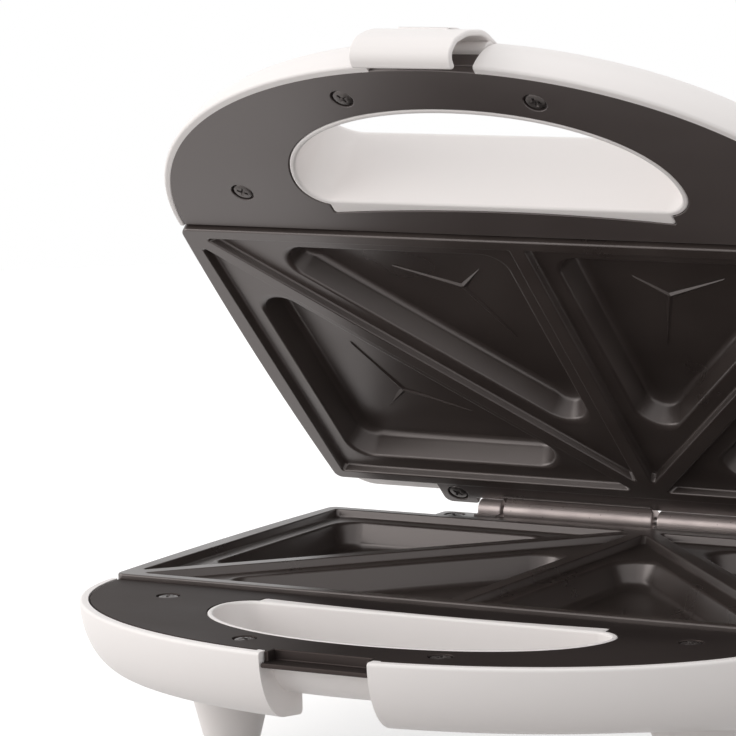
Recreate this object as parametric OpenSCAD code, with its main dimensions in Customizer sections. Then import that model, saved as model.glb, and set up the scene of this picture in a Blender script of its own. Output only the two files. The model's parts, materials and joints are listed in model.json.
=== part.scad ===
// Countertop sandwich toaster with a hinged lid, drawn with the lid half open.
// Millimetres, +Z up, the front is -Y. The origin is on the counter, under the
// middle of the box round the whole toaster.
// Each half is drawn in a half frame: z there is the distance from the parting plane,
// and y is measured from the middle of the cooking plate. The base is that half
// mirrored down, and the lid is that half turned about the hinge.

/* [Cooking plates] */
// Width of each cooking plate
plate_w = 226; // [216:1:236]
// Depth of each cooking plate, front to back
plate_d = 124; // [120:1:134]
// Gap between the two plate rims when the lid is closed
rim_gap = 1; // [0.8:0.1:1.6]
// Thickness of the flange round a plate
flange_t = 4; // [3.6:0.1:5]
// How far the underside of a plate's pan lies from its rim
pan_depth = 14; // [13:0.5:16]
// How far the pan stands back from the plate's edge
pan_inset = 8; // [7:0.5:10]
// How far the sides of a plate bow outwards
side_bow = 1.5; // [0.5:0.1:2]
// Width of the flat rim round the pockets
rim_w = 4; // [3:0.5:6]
// Width of the ribs that part the pockets
rib_w = 5; // [4:0.5:7]
// Depth of the flat shelf below the rim
shelf_drop = 2.5; // [2:0.1:3]
// Width of the flat shelf inside each pocket
shelf_w = 6; // [5:0.5:9]
// Depth of a pocket below its shelf
pocket_depth = 8; // [6:0.5:8.5]
// How much a pocket's wall leans over its depth
pocket_draft = 4; // [2:0.5:5]
// Radius of a pocket's corners
pocket_r = 7; // [4:0.5:9]
// Height of the three-armed mark in each pocket
mark_h = 0.4; // [0.3:0.1:0.8]

/* [Grip ends] */
// How far a bezel's side stands in from its plate's side
bezel_in = 3; // [1:0.5:5]
// Reach of a bezel in front of its plate
bezel_b = 72.8; // [71:0.2:80]
// Thickness of a bezel
bezel_t = 2.5; // [2.2:0.1:3]
// How far a plate's rim stands above the bezel's face
rim_stand = 1.4; // [1:0.1:1.8]
// Half the width of the grip opening
grip_a = 60.3; // [50:0.1:61]
// Distance from the plate to the grip opening
grip_near = 14.3; // [13:0.1:16]
// Length of the grip opening, front to back
grip_len = 39.8; // [34:0.2:41]
// Radius of the grip opening's rear corners
grip_r = 7.7; // [5:0.1:9]
// How far the rear edge of the grip's lip bows towards the plate at its ends
grip_sag = 2.8; // [1:0.1:3.2]
// Thickness of the wall round the grip opening
grip_wall = 1.8; // [1.4:0.1:2.4]
// Half the spacing of a bezel's front screws
screw_front_x = 30.2; // [26:0.2:34]
// Distance from the plate to a bezel's front screws
screw_front_y = 59.7; // [59:0.1:61]
// Distance of a bezel's side screws from its side
screw_side_in = 27.7; // [20:0.1:34]
// Distance from the plate to a bezel's side screws
screw_side_y = 16.8; // [16:0.1:24]

/* [Shells] */
// Wall thickness of both shells
wall = 2.5; // [2:0.1:3]
// Height of the base below the parting plane
base_depth = 33; // [32:0.5:38]
// Height of the lid above the parting plane
lid_depth = 34; // [33:0.5:38]
// How far the base's rim stands outside its bezel
base_rim = 3; // [2.6:0.1:3.4]
// How far the base's nose rounds inwards
base_nose_r = 13.5; // [12:0.5:15]
// How far the base's nose rounds down
base_nose_h = 20; // [17:0.5:21]
// How far the lid's rim stands outside its bezel
lid_rim = 2; // [1.8:0.1:2.6]
// How far the lid's nose rounds inwards
lid_nose_r = 21.5; // [19:0.5:22]
// How far the lid's nose rounds up
lid_nose_h = 20; // [19:0.5:22]
// How far the base's deepest part stands back from the plate's front
base_slope = 44; // [30:1:48]
// How far the lid's highest part stands back from the plate's front
lid_slope = 19; // [15:1:30]
// How far the shells reach behind the plates
shell_back = 9; // [8:0.5:9.5]
// How far the sides round inwards behind the grip ends
side_r = 16; // [12:1:18]
// Radius of the shells' rear corners, seen from above
corner_r = 9; // [5:0.5:10]

/* [Legs] */
// Height of the parting plane above the counter
parting_z = 53; // [50:0.5:60]
// Width of a leg at its tip
leg_tip_d = 13.6; // [12.6:0.2:15]
// How much a leg's diameter grows per millimetre of height
leg_flare = 0.5; // [0.3:0.05:0.55]
// Thickness of a leg's wall
leg_wall = 2.2; // [1.8:0.1:2.6]
// Distance of the legs from the plate's sides
leg_side_in = 39; // [35:1:52]
// Distance of the front legs from the plate's front
leg_front_in = 2; // [0:0.5:12]
// Distance of the rear legs from the plate's back
leg_rear_in = 14; // [12:0.5:22]
// Thickness of a rubber pad below a leg
pad_t = 1.5; // [1:0.1:2.5]
// Width of a rubber pad
pad_d = 11; // [9:0.5:12]

/* [Hinge] */
// How far the hinge's axis lies behind the plates
hinge_back = 11; // [10.5:0.5:12]
// Radius of the hinge knuckles
knuckle_r = 3.5; // [3.2:0.1:3.7]
// Radius of the hinge pin
pin_r = 1.5; // [1.3:0.1:1.8]
// Length of a short knuckle
knuckle_short = 8; // [6:0.5:9]
// Length of a long knuckle
knuckle_long = 51.3; // [40:0.1:51.5]
// Gap between a long knuckle and its short neighbour
knuckle_play = 1; // [0.6:0.1:1.2]
// Gap between the two long knuckles
knuckle_gap = 1.7; // [1:0.1:2]
// Distance of that gap from the middle, to the left
knuckle_off = 2; // [0:0.5:2.5]
// Distance of the ear screws from the middle
ear_x = 70; // [69.5:0.5:80]
// Width of an ear
ear_w = 12; // [10:0.5:12]
// How far the lid stands open
open_angle = 45; // [0:1:60]

/* [Latch] */
// Width of the latch clip
latch_w = 31.5; // [26:0.5:36]
// Thickness of the latch clip
latch_t = 1.8; // [1.6:0.1:2.2]
// How far the clip is swung out from its locked place
latch_swing = 24; // [20:1:26]
// Radius of the clip's knuckle
latch_knuckle_r = 3.2; // [3:0.1:3.3]
// Radius of the latch pin
latch_pin_r = 1.25; // [1:0.05:1.4]
// How far the clip reaches in front of its pin
latch_reach = 11.1; // [10.9:0.1:11.6]
// How far the locked hook reaches under the keeper's lip
hook_grip = 2.3; // [1.5:0.1:3]
// Gap between the clip and each side of its notch
latch_side_gap = 0.85; // [0.5:0.05:1.2]
// Depth of the notch in the base's nose
base_notch = 5.8; // [5:0.1:6.2]
// Length of the notch in the base's nose
base_notch_len = 20.4; // [20.2:0.2:22]
// Depth of the notch in the lid's nose
lid_notch = 8.2; // [8:0.1:9]
// Drop of the keeper's ledge below the bezel's face
keeper_drop = 2.9; // [2.8:0.1:3.6]
// Thickness of the keeper's ledge
keeper_t = 1.3; // [1:0.1:1.6]
// Length of the keeper's ledge, front to back
keeper_len = 6.9; // [6.4:0.1:7.4]

/* [Screws] */
// Radius of the screws' shanks
screw_r = 1.5; // [1.3:0.1:1.6]
// Radius of the screws' heads
screw_head_r = 3; // [2.6:0.1:3.2]
// Height of the screws' heads
screw_head_h = 1.1; // [0.9:0.1:1.2]
// Length of the screws below their heads
screw_len = 8; // [6:0.5:8.5]

/* [Heating] */
// Radius of the heating tube
tube_r = 3.25; // [3:0.05:3.4]
// Half the width of the heating tube's loop
loop_x = 72; // [60:1:80]
// Half the depth of the heating tube's loop
loop_y = 34; // [28:1:38]
// Radius of the loop's bends
loop_r = 18; // [14:1:22]
// Half the spacing of the heating tube's ends
terminal_x = 18; // [14:1:24]
// Half the width of the reflector tray
tray_x = 92; // [86:1:94]
// Half the depth of the reflector tray
tray_y = 46; // [44:1:48]
// Thickness of the reflector's sheet
sheet_t = 0.6; // [0.5:0.1:1]
// Length of the studs that carry the reflector
stud_h = 8; // [7.5:0.5:9]
// Distance of the studs from the middle
stud_x = 45; // [36:1:50]
// Radius of a thermostat
thermostat_r = 8; // [6:0.5:9]
// Radius of a light's lens
lens_r = 4; // [3:0.5:5]
// Distance of the lights from the middle
lens_x = 12; // [8:1:20]
// Distance of the lights behind the plate's middle
lens_y = 30; // [10:1:36]
// Radius of the cord's hole
cord_r = 3.5; // [3:0.1:4]
// Distance of the cord's hole from the middle
cord_x = 60; // [40:1:66]
// Radius of the link cable's holes
link_r = 1.8; // [1.5:0.1:2.2]
// Distance of the link cable's holes from the middle
link_x = 30; // [20:1:40]

/* [Hidden] */
$fn = 64;
eps = 0.01;
far = 300;
fit = 0.05;
seat = 0.1;
clear = 0.3;
slice_step = 10;
bowl_step = 9;
oval_steps = 48;

// Shapes of the grip opening and of the shells' slopes
grip_power = 2.05;
grip_lip = 0.75;
grip_lip_in = 7.6;
rear_steps = 12;
slope_from = 0.81;
leg_root = 11;

// Heights in the half frame
z_rim = rim_gap / 2;
z_shelf = z_rim + shelf_drop;
z_floor = z_shelf + pocket_depth;
z_flange = z_rim + flange_t;
z_pan = z_rim + pan_depth;
z_bezel = z_rim + rim_stand;
z_bezel_back = z_bezel + bezel_t;
z_stud = z_pan + stud_h;
z_tip = parting_z - pad_t;

// Half the width of a bezel where it meets its plate
bezel_a = plate_w / 2 - bezel_in;

// Places along y in the half frame
plate_front = -plate_d / 2;
plate_back = plate_d / 2;
hinge_y = plate_back + hinge_back;
shell_y = plate_back + shell_back;
nose_y = plate_front - bezel_b;
bezel_gap = 0.4;
bezel_y = plate_front - bezel_gap;
wall_in = 0.5;
wall_x = plate_w / 2 - side_bow - wall_in;

// Places of the legs
leg_x = plate_w / 2 - leg_side_in;
leg_front_y = plate_d / 2 - leg_front_in;
leg_rear_y = plate_d / 2 - leg_rear_in;

// The strip behind a plate that carries its knuckles, and its ears
strip_z = 1.2;
strip_t = 3.8;
strip_lap = 0.4;
strip_gap = 0.5;
strip_end = hinge_y - knuckle_r - strip_gap;
strip_x = ear_x + ear_w / 2;
ear_in = 5;
ear_y = plate_back + ear_in;
ear_gap = 1;
ear_end = hinge_y - ear_gap;
web_gap = 0.3;
web_lap = 2;
web_z = 0.6;
mark_w = 2.4;
mark_share = 0.27;
tongue_x = 60;
tongue_w = 20;
tongue_t = 2.5;
tongue_reach = 6;

// Knuckles from left to right, as [start, end] along x
gap_left = -knuckle_off - knuckle_gap / 2;
gap_right = -knuckle_off + knuckle_gap / 2;
left_long = [gap_left - knuckle_long, gap_left];
left_short = [left_long[0] - knuckle_play - knuckle_short, left_long[0] - knuckle_play];
right_long = [gap_right, gap_right + knuckle_long];
right_short = [right_long[1] + knuckle_play, right_long[1] + knuckle_play + knuckle_short];
pin_over = 0.5;

// Screws, their bosses and recesses
bezel_screws = [[screw_front_x, screw_front_y], [bezel_a - screw_side_in, screw_side_y]];
recess_room = 0.4;
recess_r = screw_head_r + recess_room;
recess_z = 1.2;
boss_wall = 2.7;
boss_r = screw_r + boss_wall;
screw_end = 0.5;
screw_slot = 0.9;
cross_share = 0.6;

// Notches, keeper and latch
notch_x = latch_w / 2 + latch_side_gap;
notch_wall = 2.2;
keeper_x = notch_x - clear;
keeper_cheek = 1.2;
keeper_z = z_bezel + keeper_drop;
keeper_in = 5.2;
keeper_back = nose_y + keeper_in;
lip_y = keeper_back - keeper_len;
pivot_in = 5.3;
pivot_y = nose_y + pivot_in;
pivot_z = 12.7;
pivot_room = 0.8;
lid_notch_len = pivot_in + latch_knuckle_r + pivot_room;
skirt_y = nose_y + 0.3;
skirt_t = 2;
skirt_z = 8;
hook_gap = 0.5;
hook_len = [4.4, 0.7];
clip_heel = [-0.3, 4.3];
clip_shoulder = [-6.3, -0.5];
belly_in = 1;
belly_drop = 8.9;
chin_drop = 16.1;
clip_bends = [12, 20, 5, 3];
pad_h = 0.5;
top_points = 9;

// Pieces inside the halves
tray_gap = 1;
tray_room = 2;
blade = [3, 0.8, 4];
fuse_r = 2;
fuse_len = 12;
fuse_strap = [4, 8, 2];
// The base's floor slopes up towards the front, and the fuse stands behind the slope
fuse_rise = (z_stud + sheet_t + 2 * fuse_r - z_bezel) / (base_depth - wall - z_bezel);
fuse_front = plate_front + base_slope * max(0, (fuse_rise - slope_from) / (1 - slope_from));
fuse_y = max(-tray_y / 2, fuse_front + fuse_strap.y / 2 + tray_gap);
block_room = 1.4;
block = [30, 13, base_depth - wall - z_stud - sheet_t - block_room];
block_pitch = 9;
block_hole_r = 1.6;
element_end = 6;
element_blade = 5;
lens_flange = 1;
lens_dome = 1;
holder_h = 3.5;
holder_rim = 2.5;

// Pads' stems, and holes in the rear walls
pad_stem_r = pad_d / 5;
cord_z = 20;
cord_body = 2;
cord_flange = 4;
link_z = 14;
link_body = 1.2;
link_flange = 2.7;
flange_thin = 1.5;

// Middle of the box round the whole toaster, along y
lid_back = hinge_y + max([
    for (t = [0:bowl_step:90])
        (shell_y - side_r * (1 - cos(t)) - hinge_y) * cos(open_angle)
            + (z_bezel + (lid_depth - z_bezel) * sin(t)) * sin(open_angle)
]);
nose_cut = sqrt(1 - pow(notch_x / (bezel_a + base_rim), 2));
mid_y = (lid_back + plate_front - (bezel_b + base_rim) * nose_cut) / 2;

// A triangle's middle and inner radius, and the same triangle drawn in by d
function tri_sides(t) = [norm(t[1] - t[2]), norm(t[0] - t[2]), norm(t[0] - t[1])];
function tri_round(t) = let (s = tri_sides(t)) s[0] + s[1] + s[2];
function tri_mid(t) = let (s = tri_sides(t)) (s[0] * t[0] + s[1] * t[1] + s[2] * t[2]) / tri_round(t);
function tri_r(t) =
    let (u = t[1] - t[0], v = t[2] - t[0])
    abs(u.x * v.y - u.y * v.x) / tri_round(t);
function tri_inset(t, d) =
    let (m = tri_mid(t), k = 1 - d / tri_r(t))
    [for (p = t) m + (p - m) * k];

// Half an oval in front of the line y = y0, from left to right
function half_oval(a, b, y0, steps = oval_steps, power = 2) = [
    for (i = [0:steps])
        let (t = 180 * i / steps, c = cos(t), s = sin(t))
        [-a * sign(c) * pow(abs(c), 2 / power), y0 - b * pow(max(s, 0), 2 / power)]
];

// Outline of a plate grown by g: straight front and back, sides that bow outwards
function side_x(y) = plate_w / 2 - side_bow * pow(2 * y / plate_d, 2);
function plate_side(s, g, n = 12) = [
    for (i = [0:n])
        let (y = s * (plate_d / 2 + g) * (1 - 2 * i / n))
        [s * (side_x(y) + g), y]
];
function plate_points(g = 0) = concat(plate_side(1, g), plate_side(-1, g));

// The four triangles of a plate: two beside the hinge and two in front
function side_pockets(s) =
    let (
        edge = rim_w - rib_w / 2,
        x = s * (plate_w / 2 - side_bow - edge),
        y1 = plate_back - edge,
        y0 = plate_front + edge
    )
    [
        [[x, y1], [x, y0], [0, y1]],
        [[x, y0], [0, y0], [0, y1]]
    ];
all_pockets = concat(side_pockets(-1), side_pockets(1));

// Points of an arc that rounds the corner b between a and c
function bend(a, b, c, r, n = 6) =
    let (
        u = (a - b) / norm(a - b),
        v = (c - b) / norm(c - b),
        half = acos(max(-1, min(1, u * v))) / 2,
        mid = b + (u + v) / norm(u + v) * r / sin(half),
        start = b + u * r / tan(half) - mid,
        way = sign(u.y * v.x - u.x * v.y)
    )
    [
        for (i = [0:n])
            let (t = way * (180 - 2 * half) * i / n)
            mid + [start.x * cos(t) - start.y * sin(t), start.x * sin(t) + start.y * cos(t)]
    ];

// A closed outline with every corner rounded by r
function round_ring(p, r) =
    let (n = len(p))
    [for (i = [0:n - 1]) each bend(p[(i + n - 1) % n], p[i], p[(i + 1) % n], r)];

// An open path with its inner corners rounded by the radii r
function round_path(p, r) = concat(
    [p[0]],
    [for (i = [1:len(p) - 2]) each bend(p[i - 1], p[i], p[i + 1], r[i - 1])],
    [p[len(p) - 1]]
);

// The path moved to its left by d, and the band between two such paths
function path_normal(p, i) =
    let (u = p[min(i + 1, len(p) - 1)] - p[max(i - 1, 0)])
    [-u.y, u.x] / norm(u);
function side_path(p, d) = [for (i = [0:len(p) - 1]) p[i] + d * path_normal(p, i)];
function reversed(p) = [for (i = [len(p) - 1:-1:0]) p[i]];
function band(p, d0, d1) = concat(side_path(p, d0), reversed(side_path(p, d1)));

// The grip opening, and the outline of the lip round it grown by g
function grip_corner(s, g) =
    let (r = grip_r + g, x = s * (grip_a - grip_r), y = plate_front - grip_near - grip_r)
    [for (i = [0:6]) let (t = 90 - s * 90 + s * 15 * i) [x + r * cos(t), y + r * sin(t)]];
// The lip's rear edge stands nearer to the plate than its corners do, and bows
function grip_rear(g) = [
    for (i = [0:rear_steps])
        let (k = 1 - 2 * i / rear_steps)
        [k * (grip_a - grip_lip_in + g), plate_front - grip_near + g + grip_lip + grip_sag * k * k]
];
function grip_step(s, g) = [s * (grip_a - grip_lip_in + g), plate_front - grip_near + g];
function grip_bore() = concat(
    half_oval(grip_a, grip_len - grip_r, plate_front - grip_near - grip_r, 32, grip_power),
    [for (i = [1:6]) grip_corner(1, 0)[i]],
    [for (i = [6:-1:1]) grip_corner(-1, 0)[i]]
);
function grip_points(g) = concat(
    half_oval(grip_a + g, grip_len - grip_r + g, plate_front - grip_near - grip_r, 32, grip_power),
    [for (i = [1:5]) grip_corner(1, g)[i]],
    [grip_step(1, g)],
    grip_rear(g),
    [grip_step(-1, g)],
    [for (i = [5:-1:1]) grip_corner(-1, g)[i]]
);

// Extrudes an outline drawn in (y, z) along x, centred
module along_x(w) {
    translate([-w / 2, 0, 0])
        rotate([90, 0, 90])
            linear_extrude(w)
                children();
}

module rod_x(r, x0, x1) {
    translate([x0, 0, 0])
        rotate([0, 90, 0])
            cylinder(r = r, h = x1 - x0);
}

module rod_y(r, y0, y1) {
    translate([0, y0, 0])
        rotate([-90, 0, 0])
            cylinder(r = r, h = y1 - y0);
}

// The two halves' places
module in_base() {
    translate([0, -mid_y, parting_z])
        mirror([0, 0, 1])
            children();
}

module in_lid() {
    translate([0, hinge_y - mid_y, parting_z])
        rotate([-open_angle, 0, 0])
            translate([0, -hinge_y, 0])
                children();
}

// The rounded nose of a shell, drawn in by d, as a stack of thin slices
module nose_slices(rim, nose_r, nose_h, d) {
    for (t = [0:slice_step:90]) {
        grow = rim - nose_r * (1 - cos(t)) - d;
        translate([0, 0, z_bezel + (nose_h - d) * sin(t)])
            linear_extrude(eps)
                polygon(half_oval(bezel_a + grow, bezel_b + grow, plate_front));
    }
}

// The heating end of a shell, drawn in by d, as a stack of thin slices
module bowl_slices(depth, slope, d) {
    for (t = [0:bowl_step:90]) {
        grow = -side_r * (1 - cos(t)) - d;
        front = plate_front + slope * max(0, (sin(t) - slope_from) / (1 - slope_from));
        x = wall_x + grow;
        y = shell_y + grow;
        translate([0, 0, z_bezel + (depth - z_bezel - d) * sin(t)])
            linear_extrude(eps)
                polygon(round_path([[-x, front], [-x, y], [x, y], [x, front]], [corner_r, corner_r]));
    }
}

module shell_body(depth, slope, rim, nose_r, nose_h, d) {
    hull() {
        nose_slices(rim, nose_r, nose_h, d);
        bowl_slices(depth, slope, d);
    }
}

// Every place of a bezel's screws
module at_bezel_screws() {
    for (p = bezel_screws)
        for (s = [-1, 1])
            translate([s * p.x, plate_front - p.y, 0])
                children();
}

module at_ears() {
    for (s = [-1, 1])
        translate([s * ear_x, ear_y, 0])
            children();
}

// What stands inside a shell's cavity: the grip's wall, bosses and the notch's walls
module shell_inside(depth, notch_len) {
    translate([0, 0, z_bezel])
        linear_extrude(depth)
            polygon(grip_points(grip_wall));
    at_bezel_screws()
        cylinder(r = boss_r, h = depth);
    at_ears()
        cylinder(r = boss_r, h = depth);
    translate([-notch_x - notch_wall, nose_y - wall, 0])
        cube([2 * (notch_x + notch_wall), notch_len + wall + notch_wall, depth]);
}

// One shell in the half frame; children are added outside before it is hollowed
module half_shell(depth, slope, rim, nose_r, nose_h, notch, notch_len) {
    difference() {
        union() {
            shell_body(depth, slope, rim, nose_r, nose_h, 0);
            children();
        }
        difference() {
            shell_body(depth, slope, rim, nose_r, nose_h, wall);
            shell_inside(depth, notch_len);
        }
        // Open face under the plate's flange, and lower still under its hinge strip
        translate([-far / 2, plate_front - clear, -1])
            cube([far, far, z_flange + seat + 1]);
        translate([-far / 2, plate_back - strip_lap - seat, -1])
            cube([far, far, strip_z + strip_t + seat + 1]);
        // Seat of the bezel inside the rim and round the grip's wall
        difference() {
            linear_extrude(z_bezel_back)
                polygon(half_oval(bezel_a + seat, bezel_b + seat, plate_front));
            translate([0, 0, z_bezel])
                linear_extrude(depth)
                    polygon(grip_points(grip_wall));
        }
        translate([0, 0, -1])
            linear_extrude(2 * depth)
                polygon(grip_bore());
        at_bezel_screws()
            cylinder(r = screw_r, h = z_bezel + recess_z + screw_len + screw_end);
        at_ears()
            cylinder(r = screw_r, h = strip_z + recess_z + screw_len + screw_end);
        difference() {
            translate([-notch_x, nose_y - far / 2, -1])
                cube([2 * notch_x, far / 2 + notch_len, 2 * depth]);
            shell_body(depth, slope, rim, nose_r, nose_h, notch);
        }
    }
}

// A round boss for a cable's bushing, on a shell's rear wall
module rear_boss(x, z, r) {
    translate([x, 0, z])
        rod_y(r, shell_y - side_r, shell_y);
}

module rear_hole(x, z, r) {
    translate([x, 0, z])
        rod_y(r, plate_back - side_r, shell_y + 1);
}

// A bushing with an outer flange, seated in a rear hole
module bushing(x, z, bore, body, flange) {
    translate([x, 0, z])
        difference() {
            union() {
                rod_y(bore + body, shell_y - side_r / 2, shell_y + eps);
                rod_y(bore + flange, shell_y, shell_y + flange_thin);
            }
            rod_y(bore, 0, far);
        }
}

module at_legs() {
    for (i = [0:3])
        translate(leg_place(i))
            children();
}
function leg_place(i) = [(i % 2 == 0 ? -1 : 1) * leg_x, i < 2 ? -leg_front_y : leg_rear_y, 0];

// A leg, or its hollow when drawn in by d, from the shell down to its tip
module leg_cone(d) {
    top = base_depth - leg_root;
    len = z_tip - d - top;
    translate([0, 0, top])
        cylinder(r1 = leg_tip_d / 2 - d + (z_tip - top) * leg_flare / 2,
            r2 = leg_tip_d / 2 - d + d * leg_flare / 2, h = len);
}

module lower_shell() {
    color("whitesmoke")
        in_base()
            difference() {
                half_shell(base_depth, base_slope, base_rim, base_nose_r, base_nose_h,
                    base_notch, base_notch_len) {
                    at_legs()
                        leg_cone(0);
                    rear_boss(cord_x, cord_z, cord_r + cord_body + wall);
                    rear_boss(-link_x, link_z, link_r + link_body + wall);
                }
                at_legs()
                    leg_cone(leg_wall);
                at_legs()
                    cylinder(r = pad_stem_r + fit, h = far);
                rear_hole(cord_x, cord_z, cord_r + cord_body + fit);
                rear_hole(-link_x, link_z, link_r + link_body + fit);
                // Room for the keeper's ledge
                translate([-notch_x, nose_y - far / 2, -1])
                    cube([2 * notch_x, far / 2 + keeper_in + seat, keeper_z + keeper_t + seat + 1]);
            }
}

module upper_shell() {
    color("white")
        in_lid()
            difference() {
                half_shell(lid_depth, lid_slope, lid_rim, lid_nose_r, lid_nose_h,
                    lid_notch, lid_notch_len)
                    rear_boss(-link_x, link_z, link_r + link_body + wall);
                rear_hole(-link_x, link_z, link_r + link_body + fit);
                translate([0, pivot_y, pivot_z])
                    rod_x(latch_pin_r, -notch_x - notch_wall - 1, notch_x + notch_wall + 1);
                for (s = [-1, 1])
                    translate([s * lens_x, lens_y, lid_depth / 2])
                        cylinder(r = lens_r + fit, h = lid_depth);
            }
}

// A bezel without its notch, in the half frame
module half_bezel() {
    difference() {
        translate([0, 0, z_bezel])
            linear_extrude(bezel_t)
                polygon(half_oval(bezel_a, bezel_b, plate_front));
        translate([-far / 2, bezel_y, 0])
            cube([far, far, far]);
        linear_extrude(far)
            polygon(grip_points(grip_wall + seat));
        at_bezel_screws()
            cylinder(r = recess_r, h = z_bezel + recess_z);
        at_bezel_screws()
            cylinder(r = screw_r + seat, h = far);
    }
}

module lower_bezel() {
    cut_x = keeper_x - keeper_cheek / 2;
    color("#4a4140")
        in_base() {
            difference() {
                half_bezel();
                translate([-cut_x, nose_y - far / 2, 0])
                    cube([2 * cut_x, far / 2 + keeper_back - nose_y, far]);
            }
            // The keeper: a step down, a ledge that ends in the lip, and two cheeks
            along_x(2 * keeper_x)
                polygon([
                    [lip_y, keeper_z],
                    [keeper_back - keeper_t, keeper_z],
                    [keeper_back - keeper_t, z_bezel],
                    [keeper_back + eps, z_bezel],
                    [keeper_back + eps, keeper_z + keeper_t],
                    [lip_y, keeper_z + keeper_t]
                ]);
            for (s = [-1, 1])
                translate([s * (keeper_x - keeper_cheek / 2) - keeper_cheek / 2, skirt_y, z_bezel])
                    cube([keeper_cheek, keeper_back - skirt_y, keeper_drop + keeper_t]);
        }
}

module upper_bezel() {
    color("#4a4140")
        in_lid() {
            half_bezel();
            translate([-keeper_x, skirt_y, z_bezel_back - eps])
                cube([2 * keeper_x, skirt_t, skirt_z - z_bezel_back]);
        }
}

// A cooking plate in the half frame, with knuckles at the given spans
module half_plate(spans, bore) {
    difference() {
        union() {
            translate([0, 0, z_rim])
                linear_extrude(flange_t)
                    polygon(plate_points());
            translate([0, 0, z_flange - 1])
                linear_extrude(z_pan - z_flange + 1)
                    polygon(plate_points(-pan_inset));
            for (s = [-1, 1])
                translate([s * stud_x, 0, z_pan - 1])
                    cylinder(r = boss_r, h = stud_h + 1);
            // Tongues that reach under the bezel
            for (s = [-1, 1])
                translate([s * tongue_x - tongue_w / 2, plate_front - tongue_reach, z_flange])
                    cube([tongue_w, tongue_reach + pan_inset + 1, tongue_t]);
            hinge_strip();
            for (span = spans)
                knuckle(span);
        }
        translate([0, 0, z_rim - 1])
            for (t = all_pockets)
                linear_extrude(shelf_drop + 1)
                    polygon(round_ring(tri_inset(t, rib_w / 2), 1));
        for (t = all_pockets)
            pocket(t);
        translate([0, hinge_y, 0])
            rod_x(bore, -far / 2, far / 2);
        at_ears()
            cylinder(r = screw_r + seat, h = far);
        at_ears()
            cylinder(r = recess_r, h = strip_z + recess_z);
        for (s = [-1, 1])
            translate([s * stud_x, 0, z_stud - screw_len])
                cylinder(r = screw_r, h = far);
    }
    for (t = all_pockets)
        pocket_mark(t);
}

module pocket(t) {
    top = rib_w / 2 + shelf_w;
    hull() {
        translate([0, 0, z_shelf - eps])
            linear_extrude(eps)
                polygon(round_ring(tri_inset(t, top), pocket_r));
        translate([0, 0, z_floor - pocket_draft / 2])
            linear_extrude(eps)
                polygon(round_ring(tri_inset(t, top + pocket_draft / 2), pocket_r - pocket_draft / 3));
        translate([0, 0, z_floor])
            linear_extrude(eps)
                polygon(round_ring(tri_inset(t, top + pocket_draft), pocket_r - pocket_draft / 2));
    }
}

// Three thin arms that run from the pocket's middle towards its corners
module pocket_mark(t) {
    m = tri_mid(t);
    translate([0, 0, z_floor - mark_h])
        linear_extrude(mark_h + 1)
            for (p = t) {
                u = (p - m) / norm(p - m);
                v = [-u.y, u.x] * mark_w / 2;
                polygon([m + v, m + (p - m) * mark_share, m - v]);
            }
}

// The strip behind a plate with an ear at each end
module hinge_strip() {
    translate([-strip_x, plate_back - strip_lap, strip_z])
        cube([2 * strip_x, strip_end - plate_back + strip_lap, strip_t]);
    for (s = [-1, 1])
        translate([s * ear_x - ear_w / 2, plate_back - strip_lap, strip_z])
            cube([ear_w, ear_end - plate_back + strip_lap, strip_t]);
}

// A knuckle on the hinge's axis with the web that joins it to the strip
module knuckle(span) {
    translate([0, hinge_y, 0])
        rod_x(knuckle_r, span[0], span[1]);
    translate([span[0], strip_end - web_lap, web_z])
        cube([span[1] - span[0], hinge_y - strip_end + web_lap, knuckle_r - web_z - web_gap]);
}

module lower_plate() {
    color("#2b2626")
        in_base()
            half_plate([left_short, right_long], pin_r);
}

module upper_plate() {
    color("#2b2626")
        in_lid()
            half_plate([left_long, right_short], pin_r + fit);
}

module hinge_pin() {
    color("silver")
        in_base()
            translate([0, hinge_y, 0])
                rod_x(pin_r, left_short[0] - pin_over, right_short[1] + pin_over);
}

// A screw in the half frame: its head's top faces the parting plane
module screw(len) {
    translate([0, 0, recess_z])
        difference() {
            union() {
                translate([0, 0, -screw_head_h])
                    cylinder(r = screw_head_r, h = screw_head_h);
                translate([0, 0, -eps])
                    cylinder(r = screw_r, h = len + eps);
            }
            for (a = [0, 90])
                rotate([0, 0, a])
                    translate([-screw_head_r * cross_share, -screw_slot / 2, -screw_head_h - 1])
                        cube([2 * screw_head_r * cross_share, screw_slot, 1 + screw_head_h * cross_share]);
        }
}

function screw_side(i) = i % 2 == 1 ? -1 : 1;

module bezel_screw(i) {
    p = bezel_screws[i < 3 ? 0 : 1];
    color("#262222")
        translate([screw_side(i) * p.x, plate_front - p.y, z_bezel])
            screw(screw_len);
}

module ear_screw(i) {
    color("#262222")
        translate([screw_side(i) * ear_x, ear_y, strip_z])
            screw(screw_len);
}

// A screw that holds the reflector to its stud, its head away from the plate
module tray_screw(i) {
    color("silver")
        translate([screw_side(i) * stud_x, 0, z_stud + sheet_t + recess_z])
            mirror([0, 0, 1])
                screw(screw_len - 2);
}

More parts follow.
